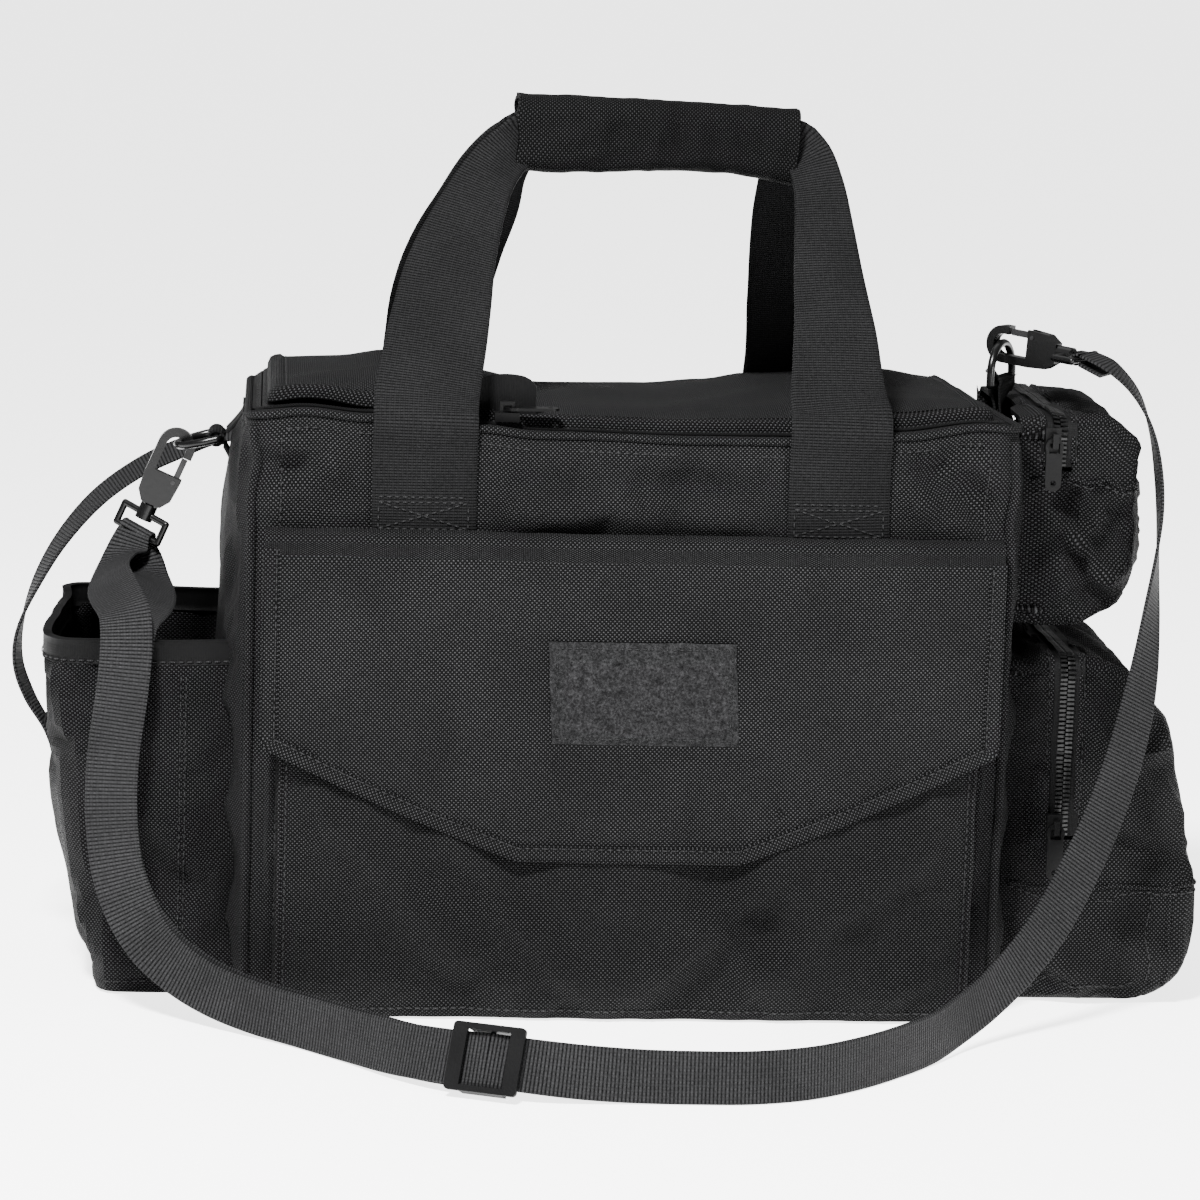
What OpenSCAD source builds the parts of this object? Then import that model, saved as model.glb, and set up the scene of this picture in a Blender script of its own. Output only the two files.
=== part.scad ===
// Soft-sided flight bag with a zipped main compartment, a flap pocket in front,
// an open pocket on the left, two zipped pouches on the right, twin carrying
// handles with a wrap, and a detachable shoulder strap. Millimetres, +Z up,
// origin on the ground under the middle of the main compartment, front at -Y.

/* [Main compartment] */
// Width of the main compartment
body_w = 374; // [350:1:390]
// Depth of the main compartment, front to back
body_d = 200; // [190:1:210]
// Height of the main compartment
body_h = 288; // [284:1:296]
// Thickness of the padded fabric walls
wall = 3; // [2.5:0.5:3.5]
// Radius of the upright corner seams
corner_r = 16; // [12:1:20]
// Depth of the fixed band between the front edge and the lid zip
band_d = 24; // [22:1:28]

/* [Front pocket] */
// Width of the front pocket
pocket_w = 340; // [320:1:346]
// Height of the front pocket
pocket_h = 216; // [200:1:220]
// How far the front pocket stands out
pocket_d = 15; // [14:0.5:16]
// Width of the flap
flap_w = 356; // [350:1:360]
// Height of the flap's hinge line above the ground
flap_z = 233; // [230:1:236]
// Length of the flap's straight sides
flap_side = 97; // [90:1:105]
// Length of the flap at its middle
flap_drop = 152; // [145:1:158]
// Width of the flap's straight lower edge
flap_tip = 108; // [90:1:130]
// Width and height of the blank identification patch
patch_size = [90, 50]; // [40:1:100]

/* [Handles] */
// Width of the handle webbing
handle_w = 50; // [48:1:52]
// Distance of the front handle's legs from the middle, left and right
front_legs = [102, 98]; // [92:1:106]
// Distance of the rear handle's legs from the middle, left and right
rear_legs = [93, 96]; // [90:1:106]
// Height of the grip's centre line
grip_z = 422; // [416:1:426]
// Length of the wrap around both grips
wrap_l = 140; // [130:1:146]
// Height of the wrap
wrap_h = 38; // [37:0.5:40]

/* [Left pocket] */
// How far the left pocket stands out at its rim and at its floor
side_out = [94, 70]; // [50:1:98]
// Depth of the left pocket, front to back
side_d = 150; // [140:1:156]
// Height of the left pocket
side_h = 178; // [170:1:182]

/* [Shoulder strap] */
// Width of the shoulder strap
strap_w = 25; // [24:0.5:26]
// Thickness of the shoulder strap
strap_t = 1.6; // [1.4:0.1:1.8]

/* [Hardware] */
// Radius of the wire that the rings are made of
wire_r = 2; // [1.8:0.1:2.1]
// Opening angle between the right ring and the bag's side, seen from above
right_yaw = -30; // [-35:1:-25]

/* [Hidden] */
$fn = 48;

half_w = body_w / 2;
half_d = body_d / 2;
// gap between neighbouring pieces that move against each other
play = 0.4;
fabric = [0.09, 0.09, 0.10];
binding = [0.05, 0.05, 0.055];
webbing = [0.12, 0.12, 0.13];
metal = [0.16, 0.16, 0.17];
board = [0.35, 0.33, 0.30];

// ---------- shared shapes ----------

// block between two opposite corners
module box(a, b) {
  translate(a) cube(b - a);
}

// upright plate: an outline in X and Z, between two values of Y
module slab_y(y0, y1) {
  translate([0, y1, 0]) rotate([90, 0, 0]) linear_extrude(y1 - y0) children();
}

// outline with round corners, made from squares and circles
module round_rect(w, h, r) {
  square([w - 2 * r, h], center = true);
  square([w, h - 2 * r], center = true);
  for (x = [-1, 1], y = [-1, 1]) translate([x * (w / 2 - r), y * (h / 2 - r)]) circle(r);
}

// flat webbing swept along rows of [x, y, z, width, thickness, face normal]
function unit(v) = v / norm(v);
function along(p, i) =
  unit(p[min(i + 1, len(p) - 1)] - p[max(i - 1, 0)]);
function ring_at(rows, i) =
  let (
    centres = [for (r = rows) [r[0], r[1], r[2]]],
    t = along(centres, i),
    side = unit(cross(rows[i][5], t)),
    up = unit(cross(t, side)),
    w = side * rows[i][3] / 2,
    h = up * rows[i][4] / 2
  )
  [centres[i] - w - h, centres[i] + w - h, centres[i] + w + h, centres[i] - w + h];

module ribbon(rows) {
  n = len(rows);
  points = [for (i = [0:n - 1]) each ring_at(rows, i)];
  skin = [for (i = [0:n - 2], k = [0:3])
    let (a = 4 * i + k, b = 4 * i + (k + 1) % 4)
    each [[a, a + 4, b + 4], [a, b + 4, b]]];
  caps = [[0, 1, 2], [0, 2, 3], [4 * n - 1, 4 * n - 2, 4 * n - 3], [4 * n - 1, 4 * n - 3, 4 * n - 4]];
  polyhedron(points, concat(skin, caps), convexity = 8);
}

// a face normal from its heading around Z, 0 towards the front, and its upward tilt
function facing(yaw, tilt) = [sin(yaw) * cos(tilt), -cos(yaw) * cos(tilt), sin(tilt)];

// ---------- main compartment ----------

module front_panel() {
  color(fabric)
    box([corner_r - half_w, -half_d, 0], [half_w - corner_r, wall - half_d, body_h - wall]);
}

module rear_panel() {
  color(fabric)
    box([corner_r - half_w, half_d - wall, 0], [half_w - corner_r, half_d, body_h]);
}

module side_panel(side) {
  color(fabric) mirror([side < 0 ? 1 : 0, 0, 0])
    box([half_w - wall, corner_r - half_d, 0], [half_w, half_d - corner_r, body_h - wall]);
}

module left_panel() {
  side_panel(-1);
}

module right_panel() {
  side_panel(1);
}

module bottom_panel() {
  inset = wall + 0.1;
  color(fabric) linear_extrude(wall) round_rect(body_w - 2 * inset, body_d - 2 * inset, corner_r - inset);
}

// stiffener that keeps the floor flat
module base_board() {
  color(board) translate([0, 0, wall])
    linear_extrude(2.5) round_rect(body_w - 24, body_d - 20, 10);
}

module corner_seams() {
  color(binding)
    for (x = [-1, 1], y = [-1, 1])
      translate([x * (half_w - corner_r), y * (half_d - corner_r), 0])
        mirror([x < 0 ? 1 : 0, 0, 0]) mirror([0, y < 0 ? 1 : 0, 0])
          rotate_extrude(angle = 90) translate([corner_r - wall, 0]) square([wall, body_h - wall]);
}

// the lid zip runs along the front and both sides of the opening
zip_x = half_w - 7;
zip_y = band_d - half_d + 0.4;
zip_rear = half_d - 8;

module top_band() {
  color(fabric) difference() {
    translate([0, 0, body_h - wall])
      linear_extrude(wall) round_rect(body_w, body_d, corner_r);
    box([-zip_x, zip_y - 0.4, body_h - 4], [zip_x, half_d + 1, body_h + 1]);
    box([-half_w - 1, zip_rear, body_h - 4], [half_w + 1, half_d + 1, body_h + 1]);
  }
}

// U-shaped run of zip beside the opening, from in to out of the zip line
module zip_run(inner, outer, z0, z1) {
  difference() {
    box([-zip_x - outer, zip_y - outer, z0], [zip_x + outer, zip_rear - 2, z1]);
    box([-zip_x - inner, zip_y - inner, z0 - 1], [zip_x + inner, zip_rear, z1 + 1]);
  }
}

module rim_zip() {
  color(metal) zip_run(0.2, 3.2, body_h, body_h + 2);
}

module lid_zip() {
  color(metal) zip_run(-3.2, -0.2, body_h + 0.4, body_h + 2.2);
}

lid_z = body_h + play;
lid_t = 3;
lid_rim = 6;
lid_back = half_d - 2;

module lid_panel() {
  edge = 3.4 + lid_rim;
  color(fabric) {
    box([edge - zip_x, zip_y + edge, lid_z], [zip_x - edge, lid_back, lid_z + lid_t]);
    translate([0, lid_back, lid_z + lid_t / 2]) rotate([0, 90, 0])
      cylinder(r = lid_t / 2, h = 2 * (zip_x - edge), center = true);
  }
}

// corded edge of the lid
module lid_binding() {
  color(binding) zip_run(-3.4 - lid_rim, -3.4, lid_z, lid_z + 5);
}

// smooth tab that stands at the end of the lid zip
module lid_pull_tab() {
  color(binding)
    box([-74, zip_y + 5, lid_z + 5], [-48, zip_y + 7.5, lid_z + 25]);
}

// ---------- zip sliders ----------

// slider seen with its track along X and the fabric below it
module slider_body() {
  color(metal) {
    difference() {
      translate([-6, -4.2, 0]) cube([12, 7.6, 4.4]);
      translate([-7, -2.6, -1]) cube([14, 8, 2.4]);
    }
    difference() {
      translate([-3.6, -1.4, 4.4]) cube([7.2, 2.8, 5.2]);
      translate([-2, -2, 4]) cube([4, 4, 3.8]);
    }
  }
}

// puller that pivots in the slider's bridge and lies along the track
module slider_puller(length) {
  eye = 3.1;
  tip = length - 3;
  color(metal) translate([0, 0, 6.1]) linear_extrude(1.4, center = true) difference() {
    union() {
      translate([eye, 0]) circle(eye + 1.4);
      translate([eye, -4]) square([tip - eye, 8]);
      translate([tip, 0]) circle(4);
    }
    translate([1.3, -2.6]) square([4.9, 5.2]);
    translate([tip, 0]) circle(1.4);
  }
}

lid_slider_x = -62;

module lid_slider() {
  translate([lid_slider_x, zip_y - 4, body_h + 0.9]) slider_body();
}

module lid_puller() {
  translate([lid_slider_x, zip_y - 4, body_h + 0.9]) slider_puller(24);
}

// ---------- front pocket and flap ----------

front_y = -half_d - pocket_d;
half_p = pocket_w / 2;

module pocket_panel() {
  color(fabric) box([-half_p, front_y, 0], [half_p, front_y + wall, pocket_h]);
}

module pocket_gusset() {
  color(fabric) {
    for (x = [-half_p, half_p - wall])
      box([x, front_y + wall, 0], [x + wall, -half_d, pocket_h]);
    box([-half_p, front_y + wall, 0], [half_p, -half_d, wall]);
  }
}

module pocket_loop_strip() {
  color(binding) box([-60, front_y - 1.1, 96], [60, front_y, 121]);
}

flap_t = 3;
flap_y = front_y - 4.2;
flap_root = -half_d - 0.2;

module flap_anchor() {
  half_w = flap_w / 2;
  color(fabric)
    box([-half_w, flap_y + flap_t / 2 + play, flap_z - 1.5], [half_w, flap_root + 0.2, flap_z + 1.5]);
}

// outline of the flap, drawn inwards by an inset
function flap_outline(inset) =
  let (
    w = flap_w / 2 - inset,
    side = flap_z - flap_side + inset * 0.6,
    tip = flap_z - flap_drop + inset,
    t = flap_tip / 2 - inset * 0.3
  )
  [[-w, flap_z], [-w, side], [-t, tip], [t, tip], [w, side], [w, flap_z]];
flap_rim = 7;

module flap_panel() {
  color(fabric) {
    slab_y(flap_y - flap_t / 2, flap_y + flap_t / 2) polygon(flap_outline(flap_rim));
    translate([0, flap_y, flap_z]) rotate([0, 90, 0])
      cylinder(r = flap_t / 2, h = flap_w, center = true);
  }
}

module flap_binding() {
  color(binding) slab_y(flap_y - flap_t / 2 - 0.6, flap_y + flap_t / 2 + 0.6)
    intersection() {
      difference() {
        polygon(flap_outline(0));
        polygon(flap_outline(flap_rim));
      }
      square([flap_w + 2, 2 * (flap_z - 1.8)], center = true);
    }
}

module flap_hook_strip() {
  color(binding) box([-60, flap_y + flap_t / 2, 97], [60, flap_y + flap_t / 2 + 1.1, 120]);
}

module id_patch() {
  color(webbing) translate([5, flap_y - flap_t / 2, 164]) rotate([90, 0, 0])
    linear_extrude(1.4) round_rect(patch_size[0], patch_size[1], 2);
}

// ---------- handles ----------

handle_t = 2.4;
hinge_y = half_d + 4;
hinge_z = body_h;
grip_y = 5.5;
lean = atan((hinge_y - grip_y) / (grip_z - hinge_z));
rise = norm([hinge_y - grip_y, grip_z - hinge_z]);
// rows of [x, distance up the handle, width, thickness, how far it stands up from the lean]
function front_rows(legs) = [
  [-legs[0], 0, handle_w, handle_t, 0], [-legs[0] + 1, 25, handle_w, handle_t, 0],
  [-95.5, 58, 48, handle_t, 0], [-89.5, 90, 43, handle_t, 0],
  [-81, 118, 35, 2.6, 0], [-71, 142, 28, 3, 0.2], [-59, 158, 25, 4, 0.7],
  [-44, rise, 25, 5, 1], [13, rise, 25, 5, 1], [72, rise, 25, 5, 1],
  [86, 159, 24, 4, 0.7], [91.5, 142, 25, 3, 0.2], [93.5, 118, 29, 2.6, 0],
  [95, 90, 34, handle_t, 0], [96.5, 58, 40, handle_t, 0],
  [legs[1] - 1, 25, 46, handle_t, 0], [legs[1], 0, handle_w, handle_t, 0]
];
function rear_rows(legs) = [
  [-legs[0], 0, handle_w, handle_t, 0], [-legs[0], 25, handle_w, handle_t, 0],
  [-90, 58, handle_w, handle_t, 0], [-83, 90, 48, handle_t, 0],
  [-74, 118, 43, 2.6, 0], [-67, 142, 35, 3, 0.2], [-57, 159, 28, 4, 0.7],
  [-44, rise, 25, 5, 1], [13, rise, 25, 5, 1], [67, rise, 25, 5, 1],
  [80, 160.5, 28, 4, 0.7], [83.5, 144, 35, 3, 0.2], [86.5, 118, 42, 2.6, 0],
  [90.5, 90, 47, handle_t, 0], [93.5, 58, handle_w, handle_t, 0],
  [legs[1], 25, handle_w, handle_t, 0], [legs[1], 0, handle_w, handle_t, 0]
];

// one handle, standing from its hinge line at the front edge
module handle(handle_rows, legs) {
  rows = [for (r = handle_rows)
    let (tilt = lean * (1 - r[4]))
    [r[0], r[1] * sin(lean) - hinge_y, r[1] * cos(lean) + hinge_z, r[2], r[3], facing(0, tilt)]];
  color(webbing) {
    ribbon(rows);
    for (x = [-legs[0], legs[1]])
      translate([x, -hinge_y, hinge_z]) rotate([0, 90, 0])
        cylinder(r = handle_t / 2, h = handle_w, center = true);
  }
}

module handle_anchors(legs) {
  color(webbing) for (x = [-legs[0], legs[1]])
    box([x - handle_w / 2, -half_d - handle_t, flap_z + 1.6],
      [x + handle_w / 2, -half_d, hinge_z - 3]);
}

module front_handle_anchors() {
  handle_anchors(front_legs);
}

module front_handle_webbing() {
  handle(front_rows(front_legs), front_legs);
}

module rear_handle_anchors() {
  mirror([0, 1, 0]) handle_anchors(rear_legs);
}

module rear_handle_webbing() {
  mirror([0, 1, 0]) handle(rear_rows(rear_legs), rear_legs);
}

wrap_x = 13;
wrap_t = 3;

// outline across the wrap, in Y and Z, grown inwards by an inset
module wrap_outline(inset) {
  translate([-1, 0]) round_rect(32 - 2 * inset, wrap_h - 2 * inset, 9 - inset);
}

// padded wrap: front, top and bottom, open behind
module wrap_shell() {
  color(fabric) translate([wrap_x, 0, grip_z]) rotate([90, 0, 90])
    linear_extrude(wrap_l, center = true) difference() {
      wrap_outline(0);
      wrap_outline(wrap_t);
      translate([4, -wrap_h]) square([30, 2 * wrap_h]);
    }
}

// pad behind the grips that closes the wrap
module wrap_closure() {
  color(fabric) translate([wrap_x, 0, grip_z]) rotate([90, 0, 90])
    linear_extrude(wrap_l, center = true) intersection() {
      union() {
        translate([10, 0]) round_rect(3.2, 25, 1);
        wrap_outline(0);
      }
      union() {
        translate([8.2, -12.5]) square([10, 25]);
        translate([11, -wrap_h]) square([10, 2 * wrap_h]);
      }
    }
}

// ---------- left pocket ----------

side_rim = 12;
side_x = -half_w;
rim_x = side_x - side_out[0];
foot_x = side_x - side_out[1];
half_s = side_d / 2;

// outline of the pocket in X and Z, drawn inwards by the wall
function side_outline(inset) = [
  [side_x, inset], [foot_x + inset, inset], [rim_x + inset, side_h - side_rim - 6],
  [rim_x + inset, side_h + inset], [side_x, side_h + inset]
];

module left_pocket_shell() {
  color(fabric) difference() {
    slab_y(-half_s, half_s) polygon([for (p = side_outline(0)) [p[0], min(p[1], side_h)]]);
    slab_y(wall - half_s, half_s - wall) polygon(side_outline(wall));
  }
}

module left_pocket_binding() {
  edge = 1.4;
  color(binding) difference() {
    box([rim_x - edge, -half_s - edge, side_h - side_rim], [side_x, half_s + edge, side_h]);
    box([rim_x, -half_s, side_h - side_rim - 1], [side_x + 1, half_s, side_h + 1]);
  }
}

// ---------- closure strap over the left pocket ----------

// points of the strap from its sewn end to its free end, with heading and tilt
closure_rows = [
  [-190, 32, 264, -90, 45], [-205, 32, 262, -75, 60], [-222, 31, 256, -60, 60],
  [-242, 29, 246, -65, 55], [-262, 26, 231, -70, 45], [-279, 22, 211, -75, 30],
  [-291, 17, 190, -80, 15], [-299, 12, 168, -90, 0], [-300, 8, 150, -95, -10],
  [-294, 6, 133, -95, -15], [-285, 4, 118, -92, -8], [-279, 3, 104, -90, 0]
];

module closure_strap() {
  color(webbing)
    ribbon([for (r = closure_rows) [r[0], r[1], r[2], strap_w, strap_t, facing(r[3], r[4])]]);
}

// loop patch sewn on the left pocket's outer wall
module closure_pads() {
  span = [92, 126];
  pad_y = 3;
  slope = (side_out[0] - side_out[1]) / (side_h - side_rim - 6);
  reach = [for (z = span) foot_x - slope * z];
  color(binding) slab_y(pad_y - strap_w / 2, pad_y + strap_w / 2) polygon([
    [reach[0], span[0]], [reach[0] - 1, span[0]], [reach[1] - 1, span[1]], [reach[1], span[1]]
  ]);
}

// ---------- right pouches ----------

// each pouch: half depth, floor height, top height, hinge height, zip line,
// and its outline in X and Z from the floor's inner corner round to the top's inner corner
lower_half = 72;
lower_zip_x = half_w + 32;
lower_hinge = [half_w + 96, 84];
lower_outline = [
  [half_w, 0], [half_w + 78, 0], [half_w + 98, 22], [half_w + 98, 60], lower_hinge,
  [half_w + 80, 148], [half_w + 54, 176], [half_w, 176]
];
lower_inner = [
  [half_w - 1, 3], [half_w + 76, 3], [half_w + 95, 24], [half_w + 95, 60], [half_w + 93, 84],
  [half_w + 77, 147], [half_w + 52.5, 173], [half_w - 1, 173]
];
upper_half = 66;
upper_in = half_w + 9;
upper_zip_x = half_w + 23;
upper_hinge = [half_w + 63, 268];
upper_outline = [
  [upper_in, 190], [half_w + 38, 190], [half_w + 56, 202], [half_w + 63, 222], upper_hinge,
  [half_w + 60, 284], [half_w + 48, 294], [upper_in, 294]
];
upper_inner = [
  [upper_in + 3, 193], [half_w + 37, 193], [half_w + 53.5, 204], [half_w + 60, 223], [half_w + 60, 268],
  [half_w + 57.5, 282], [half_w + 47, 291], [upper_in + 3, 291]
];

// hollow pouch from its outer and inner outlines
module pouch(half, outer, inner) {
  difference() {
    slab_y(-half, half) polygon(outer);
    slab_y(wall - half, half - wall) polygon(inner);
  }
}

// the part of a pouch that opens: outside the zip line and above the hinge
module opening_half(half, zip_x, hinge, gap) {
  box([zip_x + gap, -half - 9, hinge[1] + gap], [hinge[0] + 20, half + 9, hinge[1] + 120]);
}

// zip row that follows the outline just beside the zip line
module zip_edge(half, outline_top, x, z0) {
  row = 3;
  for (y = [-half - 1.4, half]) box([x, y, z0], [x + row, y + 1.4, outline_top + 1.4]);
  box([x, -half - 1.4, outline_top], [x + row, half + 1.4, outline_top + 1.4]);
}

module lower_pouch_base() {
  color(fabric) {
    difference() {
      pouch(lower_half, lower_outline, lower_inner);
      opening_half(lower_half, lower_zip_x, lower_hinge, -0.3);
    }
  }
  color(metal) zip_edge(lower_half, 176, lower_zip_x - 3.6, lower_hinge[1]);
}

module lower_pouch_panel() {
  color(fabric) intersection() {
    pouch(lower_half, lower_outline, lower_inner);
    opening_half(lower_half, lower_zip_x, lower_hinge, 0.3);
  }
  color(metal) zip_edge(lower_half, 176, lower_zip_x + 0.6, lower_hinge[1] + 0.6);
}

module upper_pouch_base() {
  color(fabric) {
    difference() {
      pouch(upper_half, upper_outline, upper_inner);
      opening_half(upper_half, upper_zip_x, upper_hinge, -0.3);
    }
    box([half_w, 2 - upper_half, 200], [upper_in, upper_half - 2, 250]);
    for (y = [2 - upper_half, 28]) box([half_w, y, 250], [upper_in, y + 36, 284]);
  }
  color(metal) zip_edge(upper_half, 294, upper_zip_x - 3.6, upper_hinge[1]);
}

module upper_pouch_panel() {
  color(fabric) intersection() {
    pouch(upper_half, upper_outline, upper_inner);
    opening_half(upper_half, upper_zip_x, upper_hinge, 0.3);
  }
  color(metal) zip_edge(upper_half, 294, upper_zip_x + 0.6, upper_hinge[1] + 0.6);
}

// place a slider on the front face of a pouch, its track upright
module on_pouch_front(x, half, z) {
  translate([x, -half - 2, z]) rotate([90, 90, 0]) children();
}

lower_slider_z = 92;
upper_slider_z = 284;

module lower_pouch_slider() {
  on_pouch_front(lower_zip_x - 3.6, lower_half, lower_slider_z) slider_body();
}

module lower_pouch_puller() {
  on_pouch_front(lower_zip_x - 3.6, lower_half, lower_slider_z) slider_puller(26);
}

module upper_pouch_slider() {
  on_pouch_front(upper_zip_x - 3.6, upper_half, upper_slider_z) slider_body();
}

module upper_pouch_puller() {
  on_pouch_front(upper_zip_x - 3.6, upper_half, upper_slider_z) slider_puller(24);
}

// ---------- rings, swivels and snap hooks ----------

ring_half = 15;
ring_leg = 5;
ring_reach = ring_leg + ring_half;
bore_r = wire_r + 0.35;

// D-ring: bar along Y through the origin, bow towards +X
module d_ring() {
  color(metal) {
    rotate([90, 0, 0]) cylinder(r = wire_r, h = 2 * ring_half, center = true);
    for (y = [-ring_half, ring_half]) translate([0, y, 0]) {
      sphere(wire_r);
      rotate([0, 90, 0]) cylinder(r = wire_r, h = ring_leg);
    }
    translate([ring_leg, 0, 0]) rotate([0, 0, -90])
      rotate_extrude(angle = 180) translate([ring_half, 0]) circle(wire_r);
  }
}

eye_drop = 1.6;
hook_t = 6;
pivot = [5.8, -18.6];
stem_top = -33;

// plan of the hook in X and Z, with the ring's wire at the origin
module hook_plan() {
  difference() {
    union() {
      translate([0, -eye_drop]) circle(9.4);
      translate([-9.4, -18]) square([18.8, 18 - eye_drop]);
      polygon([[-9.4, -17.9], [9.4, -17.9], [8.6, -28], [5, stem_top], [-5, stem_top], [-8.6, -28]]);
    }
    translate([0, -eye_drop]) circle(5.2);
    translate([-5.2, -16]) square([10.4, 16 - eye_drop]);
    translate([4.6, -15.9]) square([6, 11]);
  }
}

// snap hook: thick plan with a slot for the gate and a stem in the swivel
module snap_hook() {
  color(metal) {
    difference() {
      slab_y(-hook_t / 2, hook_t / 2) hook_plan();
      box([2.2, -1.8, -22.4], [10, 1.8, -14]);
      translate([pivot[0], 0, pivot[1]]) rotate([90, 0, 0]) cylinder(r = 1.1, h = 10, center = true);
    }
    translate([0, 0, stem_top - 8]) cylinder(r = 2.2, h = 8.5);
  }
}

module hook_gate() {
  color(metal) difference() {
    slab_y(-1.4, 1.4) {
      translate(pivot) circle(2.6);
      translate([5, -18.6]) square([3, 12.9]);
    }
    translate([pivot[0], 0, pivot[1]]) rotate([90, 0, 0]) cylinder(r = 1.18, h = 10, center = true);
  }
}

module hook_pin() {
  color(metal) translate([pivot[0], 0, pivot[1]]) rotate([90, 0, 0])
    cylinder(r = 1.1, h = hook_t + 0.8, center = true);
}

loop_z = -49;
loop_half = 13;

// swivel: a collar that turns on the stem and a wide loop for the strap
module hook_swivel() {
  color(metal) {
    difference() {
      translate([0, 0, stem_top - 8.6]) cylinder(r = 4.4, h = 8);
      translate([0, 0, stem_top - 9.6]) cylinder(r = 2.26, h = 12);
    }
    for (x = [-1, 1]) {
      translate([x * 4, 0, stem_top - 5.6]) rotate([0, x * 90, 0]) cylinder(r = 1.7, h = loop_half - 4);
      translate([x * loop_half, 0, loop_z]) cylinder(r = 1.7, h = stem_top - 5.6 - loop_z);
      for (z = [loop_z, stem_top - 5.6]) translate([x * loop_half, 0, z]) sphere(1.7);
    }
    translate([0, 0, loop_z]) rotate([0, 90, 0]) cylinder(r = 1.7, h = 2 * loop_half, center = true);
  }
}

// webbing tab with a bore for the ring's bar, bar along Y through the origin
module tab_eye() {
  difference() {
    rotate([90, 0, 0]) cylinder(r = 5, h = 24, center = true);
    rotate([90, 0, 0]) cylinder(r = bore_r, h = 30, center = true);
  }
}

left_eye = [side_x - 15, 0, 268];
left_droop = 14;
left_apex = left_eye + ring_reach * [-cos(left_droop), 0, -sin(left_droop)];
left_hang = 23.6;
left_turn = -30;

module left_ring_tab() {
  color(webbing) {
    translate(left_eye) tab_eye();
    difference() {
      slab_y(-12, 12) polygon([
        [side_x, 286], [side_x - 2, 286], [left_eye[0] - 1, 272.8], [left_eye[0], 263.2],
        [side_x - 2.4, 242], [side_x, 242]
      ]);
      translate(left_eye) rotate([90, 0, 0]) cylinder(r = 4.9, h = 30, center = true);
    }
  }
}

module left_ring() {
  translate(left_eye) rotate([0, 180 - left_droop, 0]) d_ring();
}

module at_left_hook() {
  translate(left_apex) rotate([0, left_hang, 0]) children();
}

module left_swivel() {
  at_left_hook() rotate([0, 0, left_turn]) hook_swivel();
}

module left_hook() {
  at_left_hook() snap_hook();
}

module left_gate() {
  at_left_hook() hook_gate();
}

module left_gate_pin() {
  at_left_hook() hook_pin();
}

right_eye = [half_w + 4, 0, 303];
right_apex = right_eye + [0, 0, ring_reach];
// the right hook lies outwards and forwards over the upper pouch
right_hook_yaw = -42;
right_hook_pitch = 86;

module right_ring_tab() {
  color(webbing) {
    translate(right_eye) rotate([0, 0, right_yaw]) tab_eye();
    difference() {
      box([half_w, -10, 262], [half_w + 3, 10, 302]);
      translate(right_eye) rotate([0, 0, right_yaw]) rotate([90, 0, 0])
        cylinder(r = 4.9, h = 40, center = true);
    }
  }
}

module right_ring() {
  translate(right_eye) rotate([0, 0, right_yaw]) rotate([0, -90, 0]) d_ring();
}

module at_right_hook() {
  translate(right_apex) rotate([0, 0, right_hook_yaw]) rotate([0, -right_hook_pitch, 0]) children();
}

module right_swivel() {
  at_right_hook() rotate([0, 0, 90]) hook_swivel();
}

module right_hook() {
  at_right_hook() snap_hook();
}

module right_gate() {
  at_right_hook() hook_gate();
}

module right_gate_pin() {
  at_right_hook() hook_pin();
}

// ---------- shoulder strap ----------

// rows of [x, y, z, heading, tilt], from the left swivel to the right swivel
strap_rows = [
  [-242.4, -2.7, 218.9, -28, 12], [-245.5, -5, 211, -28, 16],
  [-251, -18, 205.5, -48, 40], [-253.5, -37, 201.5, -52, 44], [-250, -58, 197.5, -34, 54],
  [-244, -79, 190.5, -6, 48], [-243, -91, 173, 0, 20], [-245, -95, 151, 0, 4],
  [-248, -97, 128, 0, 2], [-249, -99, 106, 0, 2], [-248, -101, 86, 0, 2],
  [-245, -104, 68, -2, 3], [-239, -108, 52, -6, 4], [-230, -114, 38, -14, 5],
  [-217, -122, 27, -24, 6], [-200, -133, 19, -32, 7], [-180, -147, 14.5, -38, 8],
  [-157, -166, 13, -42, 8], [-134, -190, 13, -42, 9], [-113, -214, 14.2, -36, 16],
  [-93, -231, 15.8, -31, 24], [-72, -242, 16.8, -22.6, 26], [-50, -249, 15.8, -14, 24],
  [-27, -252, 14.2, -6, 14], [-3, -253, 13, -2, 5], [24, -254, 12.8, -2, 2],
  [50, -253, 12.8, 8, 2], [76, -245, 12.8, 22, 2], [100, -229, 12.8, 36, 2],
  [122, -208, 12.8, 44, 2], [142, -185, 13.2, 48, 2], [158, -164, 16.5, 46, 2],
  [174, -149, 24, 40, 2], [190, -138, 37, 32, 2], [205, -129, 54, 28, 2],
  [219, -119, 76, 28, 2], [231, -110, 99, 30, 2], [241, -102, 123, 32, 2],
  [249, -93, 148, 36, 2], [255, -83, 173, 46, 2], [259, -73, 198, 60, 2],
  [262, -64, 222, 75, 2], [264, -57, 246, 85, 4], [263, -51, 268, 88, 12],
  [259, -47, 288, 85, 28], [251, -44, 305, 75, 48], [239, -41, 317, 60, 66],
  [227.5, -34.5, 322.2, 48, 80]
];
strap_last = len(strap_rows) - 1;

// the webbing is pleated where it goes through a swivel
function strap_width(i) =
  let (ends = min(i, strap_last - i))
  strap_w * (ends < 1 ? 0.74 : ends < 2 ? 0.9 : 1);

module strap_part(first, last, shift) {
  color(webbing) ribbon([for (i = [first:last])
    let (r = strap_rows[i], n = facing(r[3], r[4]))
    [r[0] + n[0] * shift, r[1] + n[1] * shift, r[2] + n[2] * shift, strap_width(i), strap_t, n]]);
}

module strap_main() {
  strap_part(0, strap_last, 0);
}

// the strap doubles back from the left swivel to the adjuster
return_last = 21;
return_gap = -6.5;
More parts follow.
